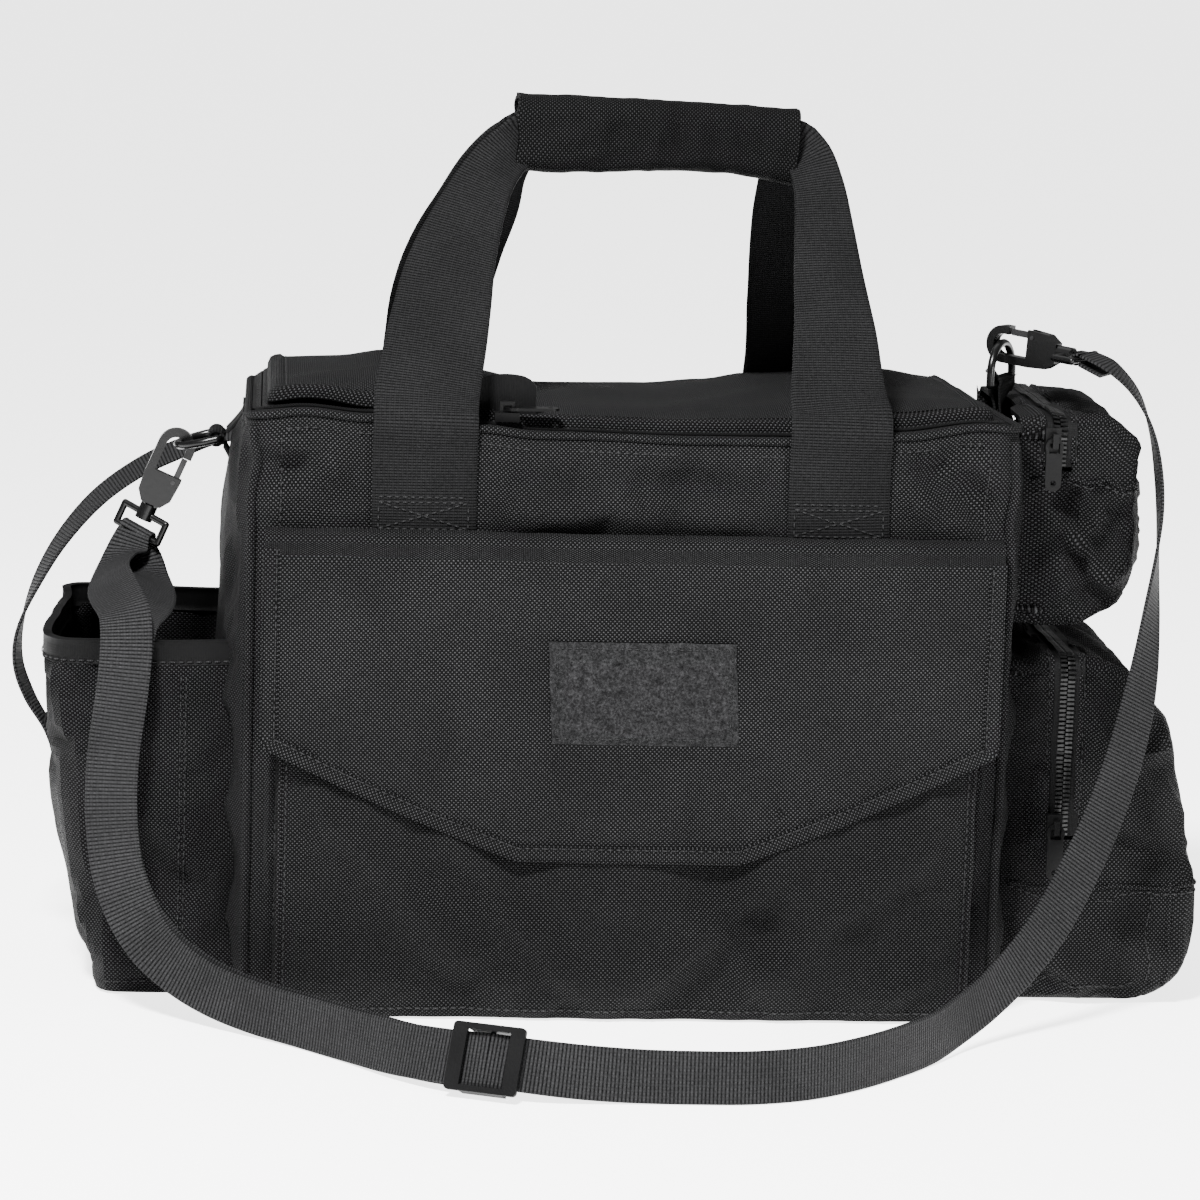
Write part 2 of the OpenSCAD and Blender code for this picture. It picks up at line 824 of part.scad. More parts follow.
// the returning band's own rows, where it parts from the main one below the swivel
return_rows = [
  [-239.4, 2.9, 217.5, -28, 12], [-242.4, 0.6, 209.2, -26, 16],
  [-237.5, -12, 201.5, 24, 40], [-231.5, -33, 197, 44, 46], [-234, -56, 192, 24, 54],
  [-240.5, -74.6, 185.7, 2, 48]
];

module strap_return() {
  color(webbing) ribbon(concat(
    [for (i = [0:len(return_rows) - 1])
      let (r = return_rows[i])
      [r[0], r[1], r[2], strap_width(i), strap_t, facing(r[3], r[4])]],
    [for (i = [len(return_rows):return_last])
      let (r = strap_rows[i], n = facing(r[3], r[4]))
      [r[0] + n[0] * return_gap, r[1] + n[1] * return_gap, r[2] + n[2] * return_gap,
        strap_width(i), strap_t, n]]));
}

// tri-glide: a flat frame in front of the strap, and a bar behind it in the returning loop
module strap_adjuster() {
  row = strap_rows[return_last];
  bar_r = 1.3;
  window = strap_w + 1.2;
  rail = 2.8;
  leg = 7;
  half_l = 17.5;
  front = -4.2;
  face = 2.2;
  behind = 3.25;
  color(binding) translate([row[0], row[1], row[2]]) rotate([0, 0, row[3]]) rotate([-row[4], 0, 0]) {
    difference() {
      slab_y(front, front + face) round_rect(2 * half_l, window + 2 * rail, 2);
      slab_y(front - 1, front + face + 1) square([2 * (half_l - leg), window], center = true);
    }
    for (z = [-1, 1])
      slab_y(front + face, behind + bar_r)
        translate([0, z * (window + rail) / 2]) square([2 * (half_l - leg), rail], center = true);
    translate([0, behind, 0]) cylinder(r = bar_r, h = window + 0.2, center = true);
  }
}

front_panel();
rear_panel();
left_panel();
right_panel();
bottom_panel();
base_board();
corner_seams();
top_band();
rim_zip();
lid_panel();
lid_binding();
lid_zip();
lid_pull_tab();
lid_slider();
lid_puller();
pocket_panel();
pocket_gusset();
pocket_loop_strip();
flap_anchor();
flap_panel();
flap_binding();
flap_hook_strip();
id_patch();
front_handle_anchors();
front_handle_webbing();
rear_handle_anchors();
rear_handle_webbing();
wrap_shell();
wrap_closure();
left_pocket_shell();
left_pocket_binding();
closure_strap();
closure_pads();
lower_pouch_base();
lower_pouch_panel();
lower_pouch_slider();
lower_pouch_puller();
upper_pouch_base();
upper_pouch_panel();
upper_pouch_slider();
upper_pouch_puller();
left_ring_tab();
left_ring();
left_swivel();
left_hook();
left_gate();
left_gate_pin();
right_ring_tab();
right_ring();
right_swivel();
right_hook();
right_gate();
right_gate_pin();
strap_main();
strap_return();
strap_adjuster();
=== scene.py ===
from math import atan, atan2, copysign, cos, degrees, exp, hypot, pi, radians, sin, sqrt
import bpy
import bmesh
from mathutils import Matrix, Vector, noise
from mathutils.bvhtree import BVHTree


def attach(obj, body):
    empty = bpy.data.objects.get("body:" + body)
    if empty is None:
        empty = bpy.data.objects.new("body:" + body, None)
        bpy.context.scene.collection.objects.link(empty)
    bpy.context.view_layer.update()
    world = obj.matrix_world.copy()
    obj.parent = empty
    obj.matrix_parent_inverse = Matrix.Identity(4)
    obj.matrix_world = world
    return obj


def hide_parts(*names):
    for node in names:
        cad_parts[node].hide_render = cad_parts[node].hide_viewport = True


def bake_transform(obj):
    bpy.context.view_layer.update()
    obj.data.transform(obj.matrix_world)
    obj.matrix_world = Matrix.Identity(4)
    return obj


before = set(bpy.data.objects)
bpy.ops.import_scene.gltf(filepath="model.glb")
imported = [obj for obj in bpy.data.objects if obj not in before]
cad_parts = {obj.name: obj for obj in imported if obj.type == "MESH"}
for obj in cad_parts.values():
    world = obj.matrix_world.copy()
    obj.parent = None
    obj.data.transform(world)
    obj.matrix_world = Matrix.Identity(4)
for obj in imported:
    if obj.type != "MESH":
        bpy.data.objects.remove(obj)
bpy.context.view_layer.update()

MM = 0.001
HALF_W, HALF_D, HEIGHT = 187.0, 100.0, 288.0
CLEAR_Y = -160.0
BACKWARD = (0, 1, 0)
scene = bpy.context.scene


def vec(x, y, z):
    return Vector((x, y, z))

# ---------------------------------------------------------------- camera, floor and light


def camera():
    az, el, roll = radians(-4.5), radians(10.0), radians(1.8)
    away = vec(sin(az) * cos(el), -cos(az) * cos(el), sin(el))
    right = (-away).cross(vec(0, 0, 1)).normalized()
    up = right.cross(-away)
    side = right * cos(roll) + up * sin(roll)
    over = up * cos(roll) - right * sin(roll)
    data = bpy.data.cameras.new("camera")
    data.lens, data.sensor_width = 130.7, 36.0
    obj = bpy.data.objects.new("camera", data)
    scene.collection.objects.link(obj)
    turn = Matrix((side, over, away)).transposed().to_4x4()
    obj.matrix_world = Matrix.Translation((vec(-8, 0, 188) + away * 2200) * MM) @ turn
    scene.camera = obj


def area_light(name, place, aim, size, power):
    data = bpy.data.lights.new(name, "AREA")
    data.shape, data.size, data.size_y, data.energy = "RECTANGLE", size[0], size[1], power
    obj = bpy.data.objects.new(name, data)
    scene.collection.objects.link(obj)
    obj.location = place
    obj.rotation_euler = (Vector(aim) - Vector(place)).to_track_quat("-Z", "Y").to_euler()


# name, place, point it faces, size in metres and power in watts
LIGHTS = [
    ("key", (-0.5, -1.05, 1.65), (0, -0.1, 0.18), (0.3, 0.3), 160),
    ("fill", (1.5, -1.4, 0.5), (0.1, 0, 0.15), (0.5, 0.5), 32),
    ("top", (0.1, 0.5, 1.6), (0, 0, 0.2), (1.2, 0.8), 6),
]
WORLD_LIGHT, FLOOR_GLOW, FLOOR_REACH = 0.35, 3.0, 40


def studio():
    world = bpy.data.worlds.new("studio")
    scene.world = world
    world.use_nodes = True
    world.node_tree.nodes["Background"].inputs["Color"].default_value = (1, 1, 1, 1)
    world.node_tree.nodes["Background"].inputs["Strength"].default_value = WORLD_LIGHT
    for light in LIGHTS:
        area_light(*light)
    mesh = bpy.data.meshes.new("floor")
    r = FLOOR_REACH
    mesh.from_pydata([(-r, -r, 0), (r, -r, 0), (r, r, 0), (-r, r, 0)], [], [(0, 1, 2, 3)])
    floor = bpy.data.objects.new("floor", mesh)
    scene.collection.objects.link(floor)
    pale = bpy.data.materials.new("pale_floor")
    pale.use_nodes = True
    shader = pale.node_tree.nodes["Principled BSDF"]
    shader.inputs["Base Color"].default_value = (0.93, 0.93, 0.93, 1)
    shader.inputs["Roughness"].default_value = 0.85
    shader.inputs["Emission Color"].default_value = (1, 1, 1, 1)
    shader.inputs["Emission Strength"].default_value = FLOOR_GLOW
    mesh.materials.append(pale)


camera()
studio()

# ---------------------------------------------------------------- materials


class Nodes:
    """Short names for building a material's node tree."""

    def __init__(self, name):
        self.material = bpy.data.materials.new(name)
        self.material.use_nodes = True
        self.tree = self.material.node_tree
        self.shader = self.tree.nodes["Principled BSDF"]

    def link(self, value, socket):
        if isinstance(value, bpy.types.NodeSocket):
            self.tree.links.new(value, socket)
        else:
            socket.default_value = value

    def math(self, op, a, b=0.0, clamp=False):
        node = self.tree.nodes.new("ShaderNodeMath")
        node.operation, node.use_clamp = op, clamp
        self.link(a, node.inputs[0])
        self.link(b, node.inputs[1])
        return node.outputs[0]

    def mul(self, a, b, clamp=False):
        return self.math("MULTIPLY", a, b, clamp)

    def add(self, a, b):
        return self.math("ADD", a, b)

    def uv(self):
        node = self.tree.nodes.new("ShaderNodeUVMap")
        node.uv_map = "UVMap"
        split = self.tree.nodes.new("ShaderNodeSeparateXYZ")
        self.tree.links.new(node.outputs[0], split.inputs[0])
        return split.outputs[0], split.outputs[1]

    def place(self):
        return self.tree.nodes.new("ShaderNodeTexCoord").outputs["Object"]

    def noise(self, scale, detail=3.0, rough=0.55):
        node = self.tree.nodes.new("ShaderNodeTexNoise")
        self.tree.links.new(self.place(), node.inputs["Vector"])
        node.inputs["Scale"].default_value = scale
        node.inputs["Detail"].default_value = detail
        node.inputs["Roughness"].default_value = rough
        return node.outputs["Fac"]

    def ramp(self, value, low, high):
        """Map 0..1 to the range low..high."""
        return self.add(self.mul(value, high - low), low)

    def grey(self, value, low, high, tint=(1.0, 1.0, 1.03)):
        node = self.tree.nodes.new("ShaderNodeValToRGB")
        self.tree.links.new(value, node.inputs[0])
        for end, level in zip(node.color_ramp.elements, (low, high)):
            end.color = (*(level * t for t in tint), 1)
        self.tree.links.new(node.outputs[0], self.shader.inputs["Base Color"])

    def bump(self, height, distance):
        node = self.tree.nodes.new("ShaderNodeBump")
        node.inputs["Strength"].default_value = 1.0
        node.inputs["Distance"].default_value = distance
        self.tree.links.new(height, node.inputs["Height"])
        self.tree.links.new(node.outputs[0], self.shader.inputs["Normal"])

    def rough(self, value):
        self.link(value, self.shader.inputs["Roughness"])

    def gloss(self, level):
        self.shader.inputs["Specular IOR Level"].default_value = level

    def thread(self, coordinate, pitch):
        """Rounded ridges of one pitch in metres along a coordinate, 0..1."""
        return self.math("ABSOLUTE", self.math("SINE", self.mul(coordinate, pi / pitch)))


def basket_weave(name, pitch, dark, light, depth, rough, level):
    m = Nodes(name)
    u, v = m.uv()
    a, b = m.thread(u, pitch), m.thread(v, pitch)
    cell_u = m.math("FLOOR", m.math("DIVIDE", u, pitch))
    cell_v = m.math("FLOOR", m.math("DIVIDE", v, pitch))
    over = m.math("ABSOLUTE", m.math("MODULO", m.add(cell_u, cell_v), 2.0))
    over = m.math("MINIMUM", over, 1.0)
    under = m.math("SUBTRACT", 1.0, over)
    warp = m.mul(m.math("POWER", a, 0.45), m.math("POWER", b, 0.9))
    weft = m.mul(m.math("POWER", b, 0.45), m.math("POWER", a, 0.9))
    height = m.add(m.mul(warp, over), m.mul(weft, under))
    # fine filaments run along each thread
    fine_u, fine_v = m.thread(u, pitch / 5), m.thread(v, pitch / 5)
    fine = m.add(m.mul(fine_v, over), m.mul(fine_u, under))
    worn = m.noise(18.0, 5.0)
    speck = m.noise(900.0, 1.0)
    # the threads on top catch the light, those across them lie in their shade
    tops = m.add(m.mul(warp, over), m.mul(weft, m.mul(under, 0.25)))
    tone = m.mul(m.math("POWER", tops, 1.5), m.ramp(worn, 0.5, 1.2))
    tone = m.mul(tone, m.ramp(speck, 0.5, 1.5), clamp=True)
    m.grey(tone, dark, light)
    m.bump(m.add(height, m.mul(fine, 0.12)), depth)
    m.rough(m.ramp(worn, rough - 0.08, rough + 0.08))
    m.gloss(level)
    return m.material


def ribbed(name, pitch, dark, light, depth, rough, cross, level):
    """Webbing: ribs across the strap, with the warp threads running along it, coloured with a painted highlight on the
    rib tops.
    """
    m = Nodes(name)
    u, v = m.uv()
    rib, warp = m.thread(v, pitch), m.thread(u, pitch * 0.8)
    cell = m.math("FLOOR", m.math("DIVIDE", u, pitch * 0.8))
    shift = m.mul(m.math("ABSOLUTE", m.math("MODULO", cell, 2.0)), pitch / 2)
    herring = m.thread(m.add(v, shift), pitch)
    body = m.add(m.mul(rib, 1 - cross), m.mul(herring, cross))
    height = m.mul(m.math("POWER", body, 0.7), m.ramp(warp, 1 - cross, 1.0))
    worn = m.noise(25.0, 4.0)
    # painted highlight and shade: the colour follows the rib height, lighter on the rib tops and darker in the hollows
    # between them
    tone = m.mul(m.math("POWER", height, 1.6), m.ramp(worn, 0.5, 1.25))
    tone = m.mul(tone, m.ramp(m.noise(800.0, 1.0), 0.4, 1.6), clamp=True)
    m.grey(tone, dark, light)
    m.bump(height, depth)
    m.rough(m.ramp(worn, rough - 0.07, rough + 0.07))
    m.gloss(level)
    return m.material


def fuzzy(name, dark, light):
    m = Nodes(name)
    hair = m.noise(900.0, 2.0, 0.7)
    curl = m.noise(260.0, 3.0, 0.7)
    tone = m.mul(m.math("POWER", hair, 2.0), m.ramp(curl, -0.6, 4.0), clamp=True)
    m.grey(tone, dark, light)
    m.bump(m.add(hair, curl), 0.0006)
    m.rough(m.ramp(curl, 0.8, 1.0))
    m.gloss(0.03)
    return m.material


def glossy(name, dark, light, rough, grain, level, depth=0.00005):
    m = Nodes(name)
    wear, fine = m.noise(60.0, 5.0), m.noise(grain, 2.0)
    m.grey(wear, dark, light)
    m.bump(fine, depth)
    m.rough(m.ramp(wear, rough - 0.06, rough + 0.1))
    m.gloss(level)
    return m.material


FABRIC = basket_weave("woven_polyester", 0.00105, 0.0002, 0.043, 0.0006, 0.6, 0.03)
# painted shade: a darker copy of the same woven fabric, for the front pocket, the left pocket and the pouches, which
# get less light
SHADED_FABRIC = basket_weave("woven_painted_shade", 0.00105, 0.0002, 0.035, 0.0006, 0.6, 0.03)
# painted shade: a still darker copy of the same woven fabric, for the wrap round the grips, where less light falls
WRAP_SHADED_FABRIC = basket_weave("woven_wrap_painted_shade", 0.00105, 0.0002, 0.02, 0.0006, 0.6, 0.03)
LINING = basket_weave("lining_cloth", 0.0006, 0.002, 0.008, 0.0001, 0.75, 0.05)
WEBBING = ribbed("webbing_wide", 0.0014, 0.0001, 0.0105, 0.0003, 0.6, 0.2, 0.02)
STRAPPING = ribbed("webbing_strap", 0.0018, 0.0002, 0.022, 0.0005, 0.55, 0.15, 0.03)
TAPE = ribbed("binding_tape", 0.0008, 0.0006, 0.006, 0.0001, 0.5, 0.4, 0.05)
THREAD = ribbed("sewing_thread", 0.0006, 0.002, 0.022, 0.0001, 0.5, 0.4, 0.08)
LOOP = fuzzy("loop_pile", 0.0005, 0.022)
METAL = glossy("black_metal", 0.001, 0.003, 0.24, 300.0, 0.2)
ZIP_METAL = glossy("zip_metal", 0.001, 0.003, 0.35, 500.0, 0.1)
GATE_METAL = glossy("gate_metal", 0.005, 0.012, 0.4, 400.0, 0.3)
TEETH = glossy("zip_teeth", 0.001, 0.004, 0.3, 600.0, 0.25)
DARK_TEETH = glossy("zip_coil", 0.002, 0.006, 0.4, 600.0, 0.15)
PLASTIC = glossy("moulded_plastic", 0.002, 0.004, 0.45, 900.0, 0.04, 0.00008)
BOARD = glossy("stiffener_board", 0.035, 0.06, 0.7, 700.0, 0.3, 0.0001)

# ---------------------------------------------------------------- mesh tools


def finish_mesh(name, points, faces, material, uvs, sharp=None):
    mesh = bpy.data.meshes.new(name)
    mesh.from_pydata([tuple(c * MM for c in p) for p in points], [], faces)
    layer = mesh.uv_layers.new(name="UVMap")
    layer.data.foreach_set("uv", [c * MM for face in uvs for uv in face for c in uv])
    mesh.polygons.foreach_set("use_smooth", [True] * len(mesh.polygons))
    if sharp:
        mesh.set_sharp_from_angle(angle=radians(sharp))
    mesh.materials.append(material)
    obj = bpy.data.objects.new(name, mesh)
    scene.collection.objects.link(obj)
    return obj


def bake(obj, sharp=None):
    """Apply every modifier."""
    graph = bpy.context.evaluated_depsgraph_get()
    mesh = bpy.data.meshes.new_from_object(
        obj.evaluated_get(graph), preserve_all_data_layers=True, depsgraph=graph)
    obj.modifiers.clear()
    obj.data = mesh
    if sharp:
        mesh.set_sharp_from_angle(angle=radians(sharp))
    return obj


def thicken(obj, thick, offset=-1.0):
    shell = obj.modifiers.new("thick", "SOLIDIFY")
    shell.thickness, shell.offset = thick * MM, offset
    return bake(obj, 55)


def lengths(points):
    total, out = 0.0, [0.0]
    for a, b in zip(points, points[1:]):
        total += (Vector(b) - Vector(a)).length
        out.append(total)
    return out


def grid(name, rows, material, uv=None, closed=False, thick=0.0, offset=-1.0, move=None):
    """Quads over rows of points; u runs along a row and v across the rows.

    uv gives (u, v) in millimetres for a row, a column and the face's own row.
    """
    n, m = len(rows), len(rows[0])
    across = lengths([row[m // 2] for row in rows])
    ring = rows[n // 2] + ([rows[n // 2][0]] if closed else [])
    along = lengths(ring)
    points = [p for row in rows for p in row]
    faces, uvs = [], []
    for i in range(n - 1):
        for j in range(m if closed else m - 1):
            k = (j + 1) % m
            faces.append((i * m + j, i * m + k, (i + 1) * m + k, (i + 1) * m + j))
            if uv:
                uvs.append([uv(a, b, i) for a, b in ((i, j), (i, j + 1), (i + 1, j + 1), (i + 1, j))])
            else:
                uvs.append([(along[a], across[b]) for a, b in
                            ((j, i), (j + 1, i), (j + 1, i + 1), (j, i + 1))])
    obj = finish_mesh(name, points, faces, material, uvs)
    if move:
        move(obj)
    if thick:
        thicken(obj, thick, offset)
    return obj


def spline(rows, steps):
    """Catmull-Rom through rows of numbers."""
    out = []
    last = len(rows) - 1
    for i in range(last):
        quad = [rows[max(0, min(last, k))] for k in (i - 1, i, i + 1, i + 2)]
        for s in range(steps):
            t = s / steps
            out.append([0.5 * (2 * b + (c - a) * t + (2 * a - 5 * b + 4 * c - d) * t * t
                               + (3 * b - a - 3 * c + d) * t ** 3) for a, b, c, d in zip(*quad)])
    out.append(list(rows[-1]))
    return out


def facing(yaw, tilt):
    yaw, tilt = radians(yaw), radians(tilt)
    return vec(sin(yaw) * cos(tilt), -cos(yaw) * cos(tilt), sin(tilt))


# across a strap: shares of its width and thickness, with a slightly thick woven edge
STRAP_SECTION = [(-.5, -.25), (-.47, -.5), (-.43, -.5), (-.40, -.42), (-.2, -.44), (0, -.44), (.2, -.44),
                 (.40, -.42), (.43, -.5), (.47, -.5), (.5, -.25), (.5, .25), (.47, .5), (.43, .5),
                 (.40, .42), (.2, .44), (0, .44), (-.2, .44), (-.40, .42), (-.43, .5), (-.47, .5), (-.5, .25)]


def sleeve(name, points, run, n, across, material, sharp):
    """Skin over sections of n points, with closed ends; across(i, j) is the u of point j in section i."""
    faces, uvs = [], []
    for i in range(len(run) - 1):
        for j in range(n):
            k = (j + 1) % n
            faces.append((i * n + j, i * n + k, (i + 1) * n + k, (i + 1) * n + j))
            a, b = across(i, j), across(i, j + 1)
            uvs.append([(a, run[i]), (b, run[i]), (b, run[i + 1]), (a, run[i + 1])])
    for i, order in ((0, -1), (len(run) - 1, 1)):
        faces.append(tuple(i * n + j for j in range(n))[::order])
        uvs.append([(across(i, j), run[i]) for j in range(n)][::order])
    return finish_mesh(name, points, faces, material, uvs, sharp)


def ribbon(name, rows, material, curl=0.0):
    """Flat webbing along rows of [x, y, z, width, thickness, nx, ny, nz]."""
    points, n = [], len(STRAP_SECTION)
    for i, row in enumerate(rows):
        here = Vector(row[:3])
        ahead = Vector(rows[min(i + 1, len(rows) - 1)][:3]) - Vector(rows[max(i - 1, 0)][:3])
        ahead.normalize()
        normal = Vector(row[5:8]).normalized()
        side = normal.cross(ahead).normalized()
        up = ahead.cross(side).normalized()
        for a, b in STRAP_SECTION:
            points.append(here + side * a * row[3] + up * (b * row[4] + curl * (1 - 4 * a * a)))
    return sleeve(name, points, lengths([r[:3] for r in rows]), n,
                  lambda i, j: STRAP_SECTION[j % n][0] * rows[i][3], material, 50)


def tube(name, path, radius, material, sides=8):
    """Round cord along a path."""
    path = [Vector(p) for p in path]
    points, side = [], None
    for i, here in enumerate(path):
        ahead = path[min(i + 1, len(path) - 1)] - path[max(i - 1, 0)]
        ahead.normalize()
        if side is None:
            side = ahead.orthogonal().normalized()
        side = (side - ahead * side.dot(ahead)).normalized()
        up = ahead.cross(side)
        for k in range(sides):
            a = 2 * pi * k / sides
            points.append(here + side * cos(a) * radius + up * sin(a) * radius)
    girth = 2 * pi * radius
    return sleeve(name, points, lengths(path), sides, lambda i, k: girth * k / sides, material, 60)


def resample(path, step):
    path = [Vector(p) for p in path]
    run = lengths(path)
    count = max(2, round(run[-1] / step))
    out, k = [], 0
    for i in range(count + 1):
        want = run[-1] * i / count
        while k < len(path) - 2 and run[k + 1] < want:
            k += 1
        span = run[k + 1] - run[k] or 1.0
        out.append(path[k].lerp(path[k + 1], (want - run[k]) / span))
    return out


def tree_of(mesh):
    return BVHTree.FromPolygons([v.co for v in mesh.vertices], [p.vertices for p in mesh.polygons])


def drop(path, obj, direction, lift=0.1, step=2.0):
    """Points of a path moved along a direction onto a mesh, with the surface normals there."""
    tree = tree_of(obj.data)
    direction = Vector(direction).normalized()
    points, normals = [], []
    for p in resample(path, step):
        hit = tree.ray_cast((p - direction * 40.0) * MM, direction)
        if hit[0] is None:
            continue
        normal = hit[1] if hit[1].dot(direction) < 0 else -hit[1]
        points.append(hit[0] / MM + normal * lift)
        normals.append(normal)
    return points, normals


def cling(path, obj, lift=0.1, step=2.0):
    """Points of a path moved to the nearest place on a mesh, with the surface normals there."""
    tree = tree_of(obj.data)
    points, normals = [], []
    for p in resample(path, step):
        place, normal, _, _ = tree.find_nearest(p * MM)
        points.append(place / MM + normal * lift)
        normals.append(normal)
    smooth = [sum((normals[k] for k in range(max(0, i - 2), min(len(normals), i + 3))), Vector()).normalized()
              for i in range(len(normals))]
    return points, smooth


def front_line(points, obj):
    """A line of stitches on the front of a mesh, through points of (x, z)."""
    return drop([(x, CLEAR_Y, z) for x, z in points], obj, BACKWARD)


def crumple(obj, push):
    """Move each point along its own normal by push(point, normal), in millimetres."""
    normals = [v.normal.copy() for v in obj.data.vertices]
    for v, n in zip(obj.data.vertices, normals):
        v.co += n * push(v.co / MM, n) * MM


def carve(obj, name, planes, keep):
    """A copy of a mesh, cut along planes of (point, normal), with the faces where keep(middle) is true."""
    bm = bmesh.new()
    bm.from_mesh(obj.data)
    for point, normal in planes:
        every = bm.verts[:] + bm.edges[:] + bm.faces[:]
        bmesh.ops.bisect_plane(bm, geom=every, plane_co=Vector(point) * MM, plane_no=normal, dist=1e-7)
    gone = [f for f in bm.faces if not keep(f.calc_center_median() / MM)]
    bmesh.ops.delete(bm, geom=gone, context="FACES")
    mesh = bpy.data.meshes.new(name)
    bm.to_mesh(mesh)
    bm.free()
    mesh.materials.append(obj.data.materials[0])
    new = bpy.data.objects.new(name, mesh)
    scene.collection.objects.link(new)
    return thicken(new, 2.2)


# length, gap and width of a stitch
SEAM, BAR_TACK, FINE_SEAM, TAB_SEAM = (3.0, 1.4, 0.75), (2.6, 1.2, 0.8), (2.4, 1.2, 0.6), (2.4, 1.1, 0.7)


BAR_SIDES = [(r, c, (c + 1) % 4) for r in range(3) for c in range(4)]
STITCH_UVS = [[(c * .3, r + 1), (d * .3, r + 1), (d * .3, r), (c * .3, r)] for r, c, d in BAR_SIDES]
STITCH_UVS += [[(0, 0), (.3, 0), (.3, .3), (0, .3)]] * 2


def bar_faces(base, back=True):
    """Faces of a four-sided bar with four sections, its points numbered from base."""
    faces = [(r * 4 + c, r * 4 + d, r * 4 + 4 + d, r * 4 + 4 + c) for r, c, d in BAR_SIDES]
    faces += [(3, 2, 1, 0), (12, 13, 14, 15)]
    return [tuple(base + i for i in (f[::-1] if back else f)) for f in faces]


def stitches(name, lines, size):
    """Rows of separate stitches; each line is (points, normals), and size is (length, gap, width)."""
    long, gap, wide = size
    points, faces, uvs = [], [], []
    for path, normals in lines:
        if len(path) < 2:
            continue
        run = lengths(path)
        count = int((run[-1] + gap) / (long + gap))
        for s in range(count):
            at = (s + 0.5) * (long + gap) - gap / 2
            k = max(0, min(len(path) - 2, next((i for i in range(len(run) - 1) if run[i + 1] >= at), 0)))
            ahead = (path[k + 1] - path[k]).normalized()
            mid = path[k] + ahead * (at - run[k])
            up = (normals[k] - ahead * normals[k].dot(ahead)).normalized()
            side = up.cross(ahead)
            faces += bar_faces(len(points))
            uvs += STITCH_UVS
            for t, w, h in ((-.5, .35, -.1), (-.3, .9, .5), (.3, .9, .5), (.5, .35, -.1)):
                for a, b in ((-.5, 0), (0, 1), (.5, 0), (0, -.6)):
                    points.append(mid + ahead * t * long + side * a * wide * w * 1.6
                                  + up * wide * (h * 0.6 + b * w * 0.5))
    return finish_mesh(name, points, faces, THREAD, uvs)


# length along the zip, depth and height of a tooth
LID_TOOTH, DOOR_TOOTH = (0.8, 2.4, 1.1), (1.1, 3.4, 1.5)


def teeth(name, path, normals, inward, pitch, size, phase, gap, material=None):
    """Zip teeth along a path, pointing to the inward side (+1 or -1 of normal x direction)."""
    points, faces, uvs = [], [], []
    run = lengths(path)
    at, k = phase * pitch + pitch / 2, 0
    shape = [(0, .5), (.45, .42), (.7, .5), (1, .36)]
    while at < run[-1]:
        while run[k + 1] < at:
            k += 1
        ahead = (path[k + 1] - path[k]).normalized()
        mid = path[k].lerp(path[k + 1], (at - run[k]) / (run[k + 1] - run[k]))
        up = (normals[k] - ahead * normals[k].dot(ahead)).normalized()
        side = up.cross(ahead) * inward
        faces += bar_faces(len(points), inward > 0)
        for s, h in shape:
            half = size[0] * (0.5 if s < 0.6 else 0.62)
            for a, b in ((-1, -1), (1, -1), (1, 1), (-1, 1)):
                points.append(mid + side * (gap + (s - 1) * size[1]) + ahead * a * half
                              + up * (size[2] * h * b * (0.9 if b > 0 else 1) + size[2] * .5))
        at += pitch
    uvs = [[(points[i].x, points[i].z) for i in f] for f in faces]
    return finish_mesh(name, points, faces, material or TEETH, uvs, 40)


def lump(p, scale, seed):
    """Smooth seeded noise, about -1..1, at a point in millimetres."""
    return noise.noise(Vector(p) / scale + vec(seed * 7.3, seed * 3.1, seed * 5.7))


def ridge(u, v, folds):
    """Sum of soft folds; each is (u0, v0, u1, v1, width, height)."""
    total = 0.0
    for u0, v0, u1, v1, wide, high in folds:
        du, dv = u1 - u0, v1 - v0
        size = du * du + dv * dv
        t = ((u - u0) * du + (v - v0) * dv) / size
        off = abs((u - u0) * dv - (v - v0) * du) / sqrt(size)
        ends = max(0.0, 1 - (max(0, -t, t - 1) * sqrt(size) / (2 * wide)) ** 2)
        inside = 0.35 + 0.65 * sin(pi * min(1, max(0, t)))
        total += high * exp(-(off / wide) ** 2) * ends * inside
    return total


def fit(value, a, b):
    """0 below a, 1 above b, smooth between."""
    t = min(1.0, max(0.0, (value - a) / (b - a)))
    return t * t * (3 - 2 * t)


def between(value, table):
    """Smooth value from rows of (place, height)."""
    if value <= table[0][0]:
        return table[0][1]
    for (a, b), (c, d) in zip(table, table[1:]):
        if value <= c:
            return b + (d - b) * fit(value, a, c)
    return table[-1][1]


# how far the soft top edge stands above or below the frame, along its front and its rear
FRONT_EDGE = [(-187, 3), (-159, 6), (-130, 3.4), (-77, -0.5), (-48, -3), (30, -4.3), (74, -4.4), (128, -0.6),
              (169, 5), (187, 4)]
REAR_EDGE = [(-187, -3), (-175, 3), (-141, 2.5), (-115, 5), (-75, -2), (-38, -8), (17, -7.4), (48, -4.6),
             (72, -1), (145, 2), (166, 0), (187, -4)]


def settle(obj):
    """Let the top of the bag sag and rise between its corners."""
    for v in obj.data.vertices:
        x, y, z = v.co / MM
        t = min(1.0, max(0.0, (y + HALF_D) / 196))
        rise = between(x, FRONT_EDGE) * (1 - t) + between(x, REAR_EDGE) * t
        v.co.z += rise * fit(z, 215, 286) * MM
    return obj


def label(obj, nodes):
    if nodes:
        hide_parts(*nodes)
    return obj


def done(obj, body, slot_name, *nodes):
    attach(obj, body)
    return label(obj, nodes)


def sew(name, lines, body="root", slot_name="binding_tape", size=SEAM):
    return done(stitches(name, lines, size), body, slot_name)


def bent(obj, a, b, start, end, slot_name, *nodes):
    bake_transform(obj)
    return label(obj, nodes)


CLOTH_FRAMES = 14


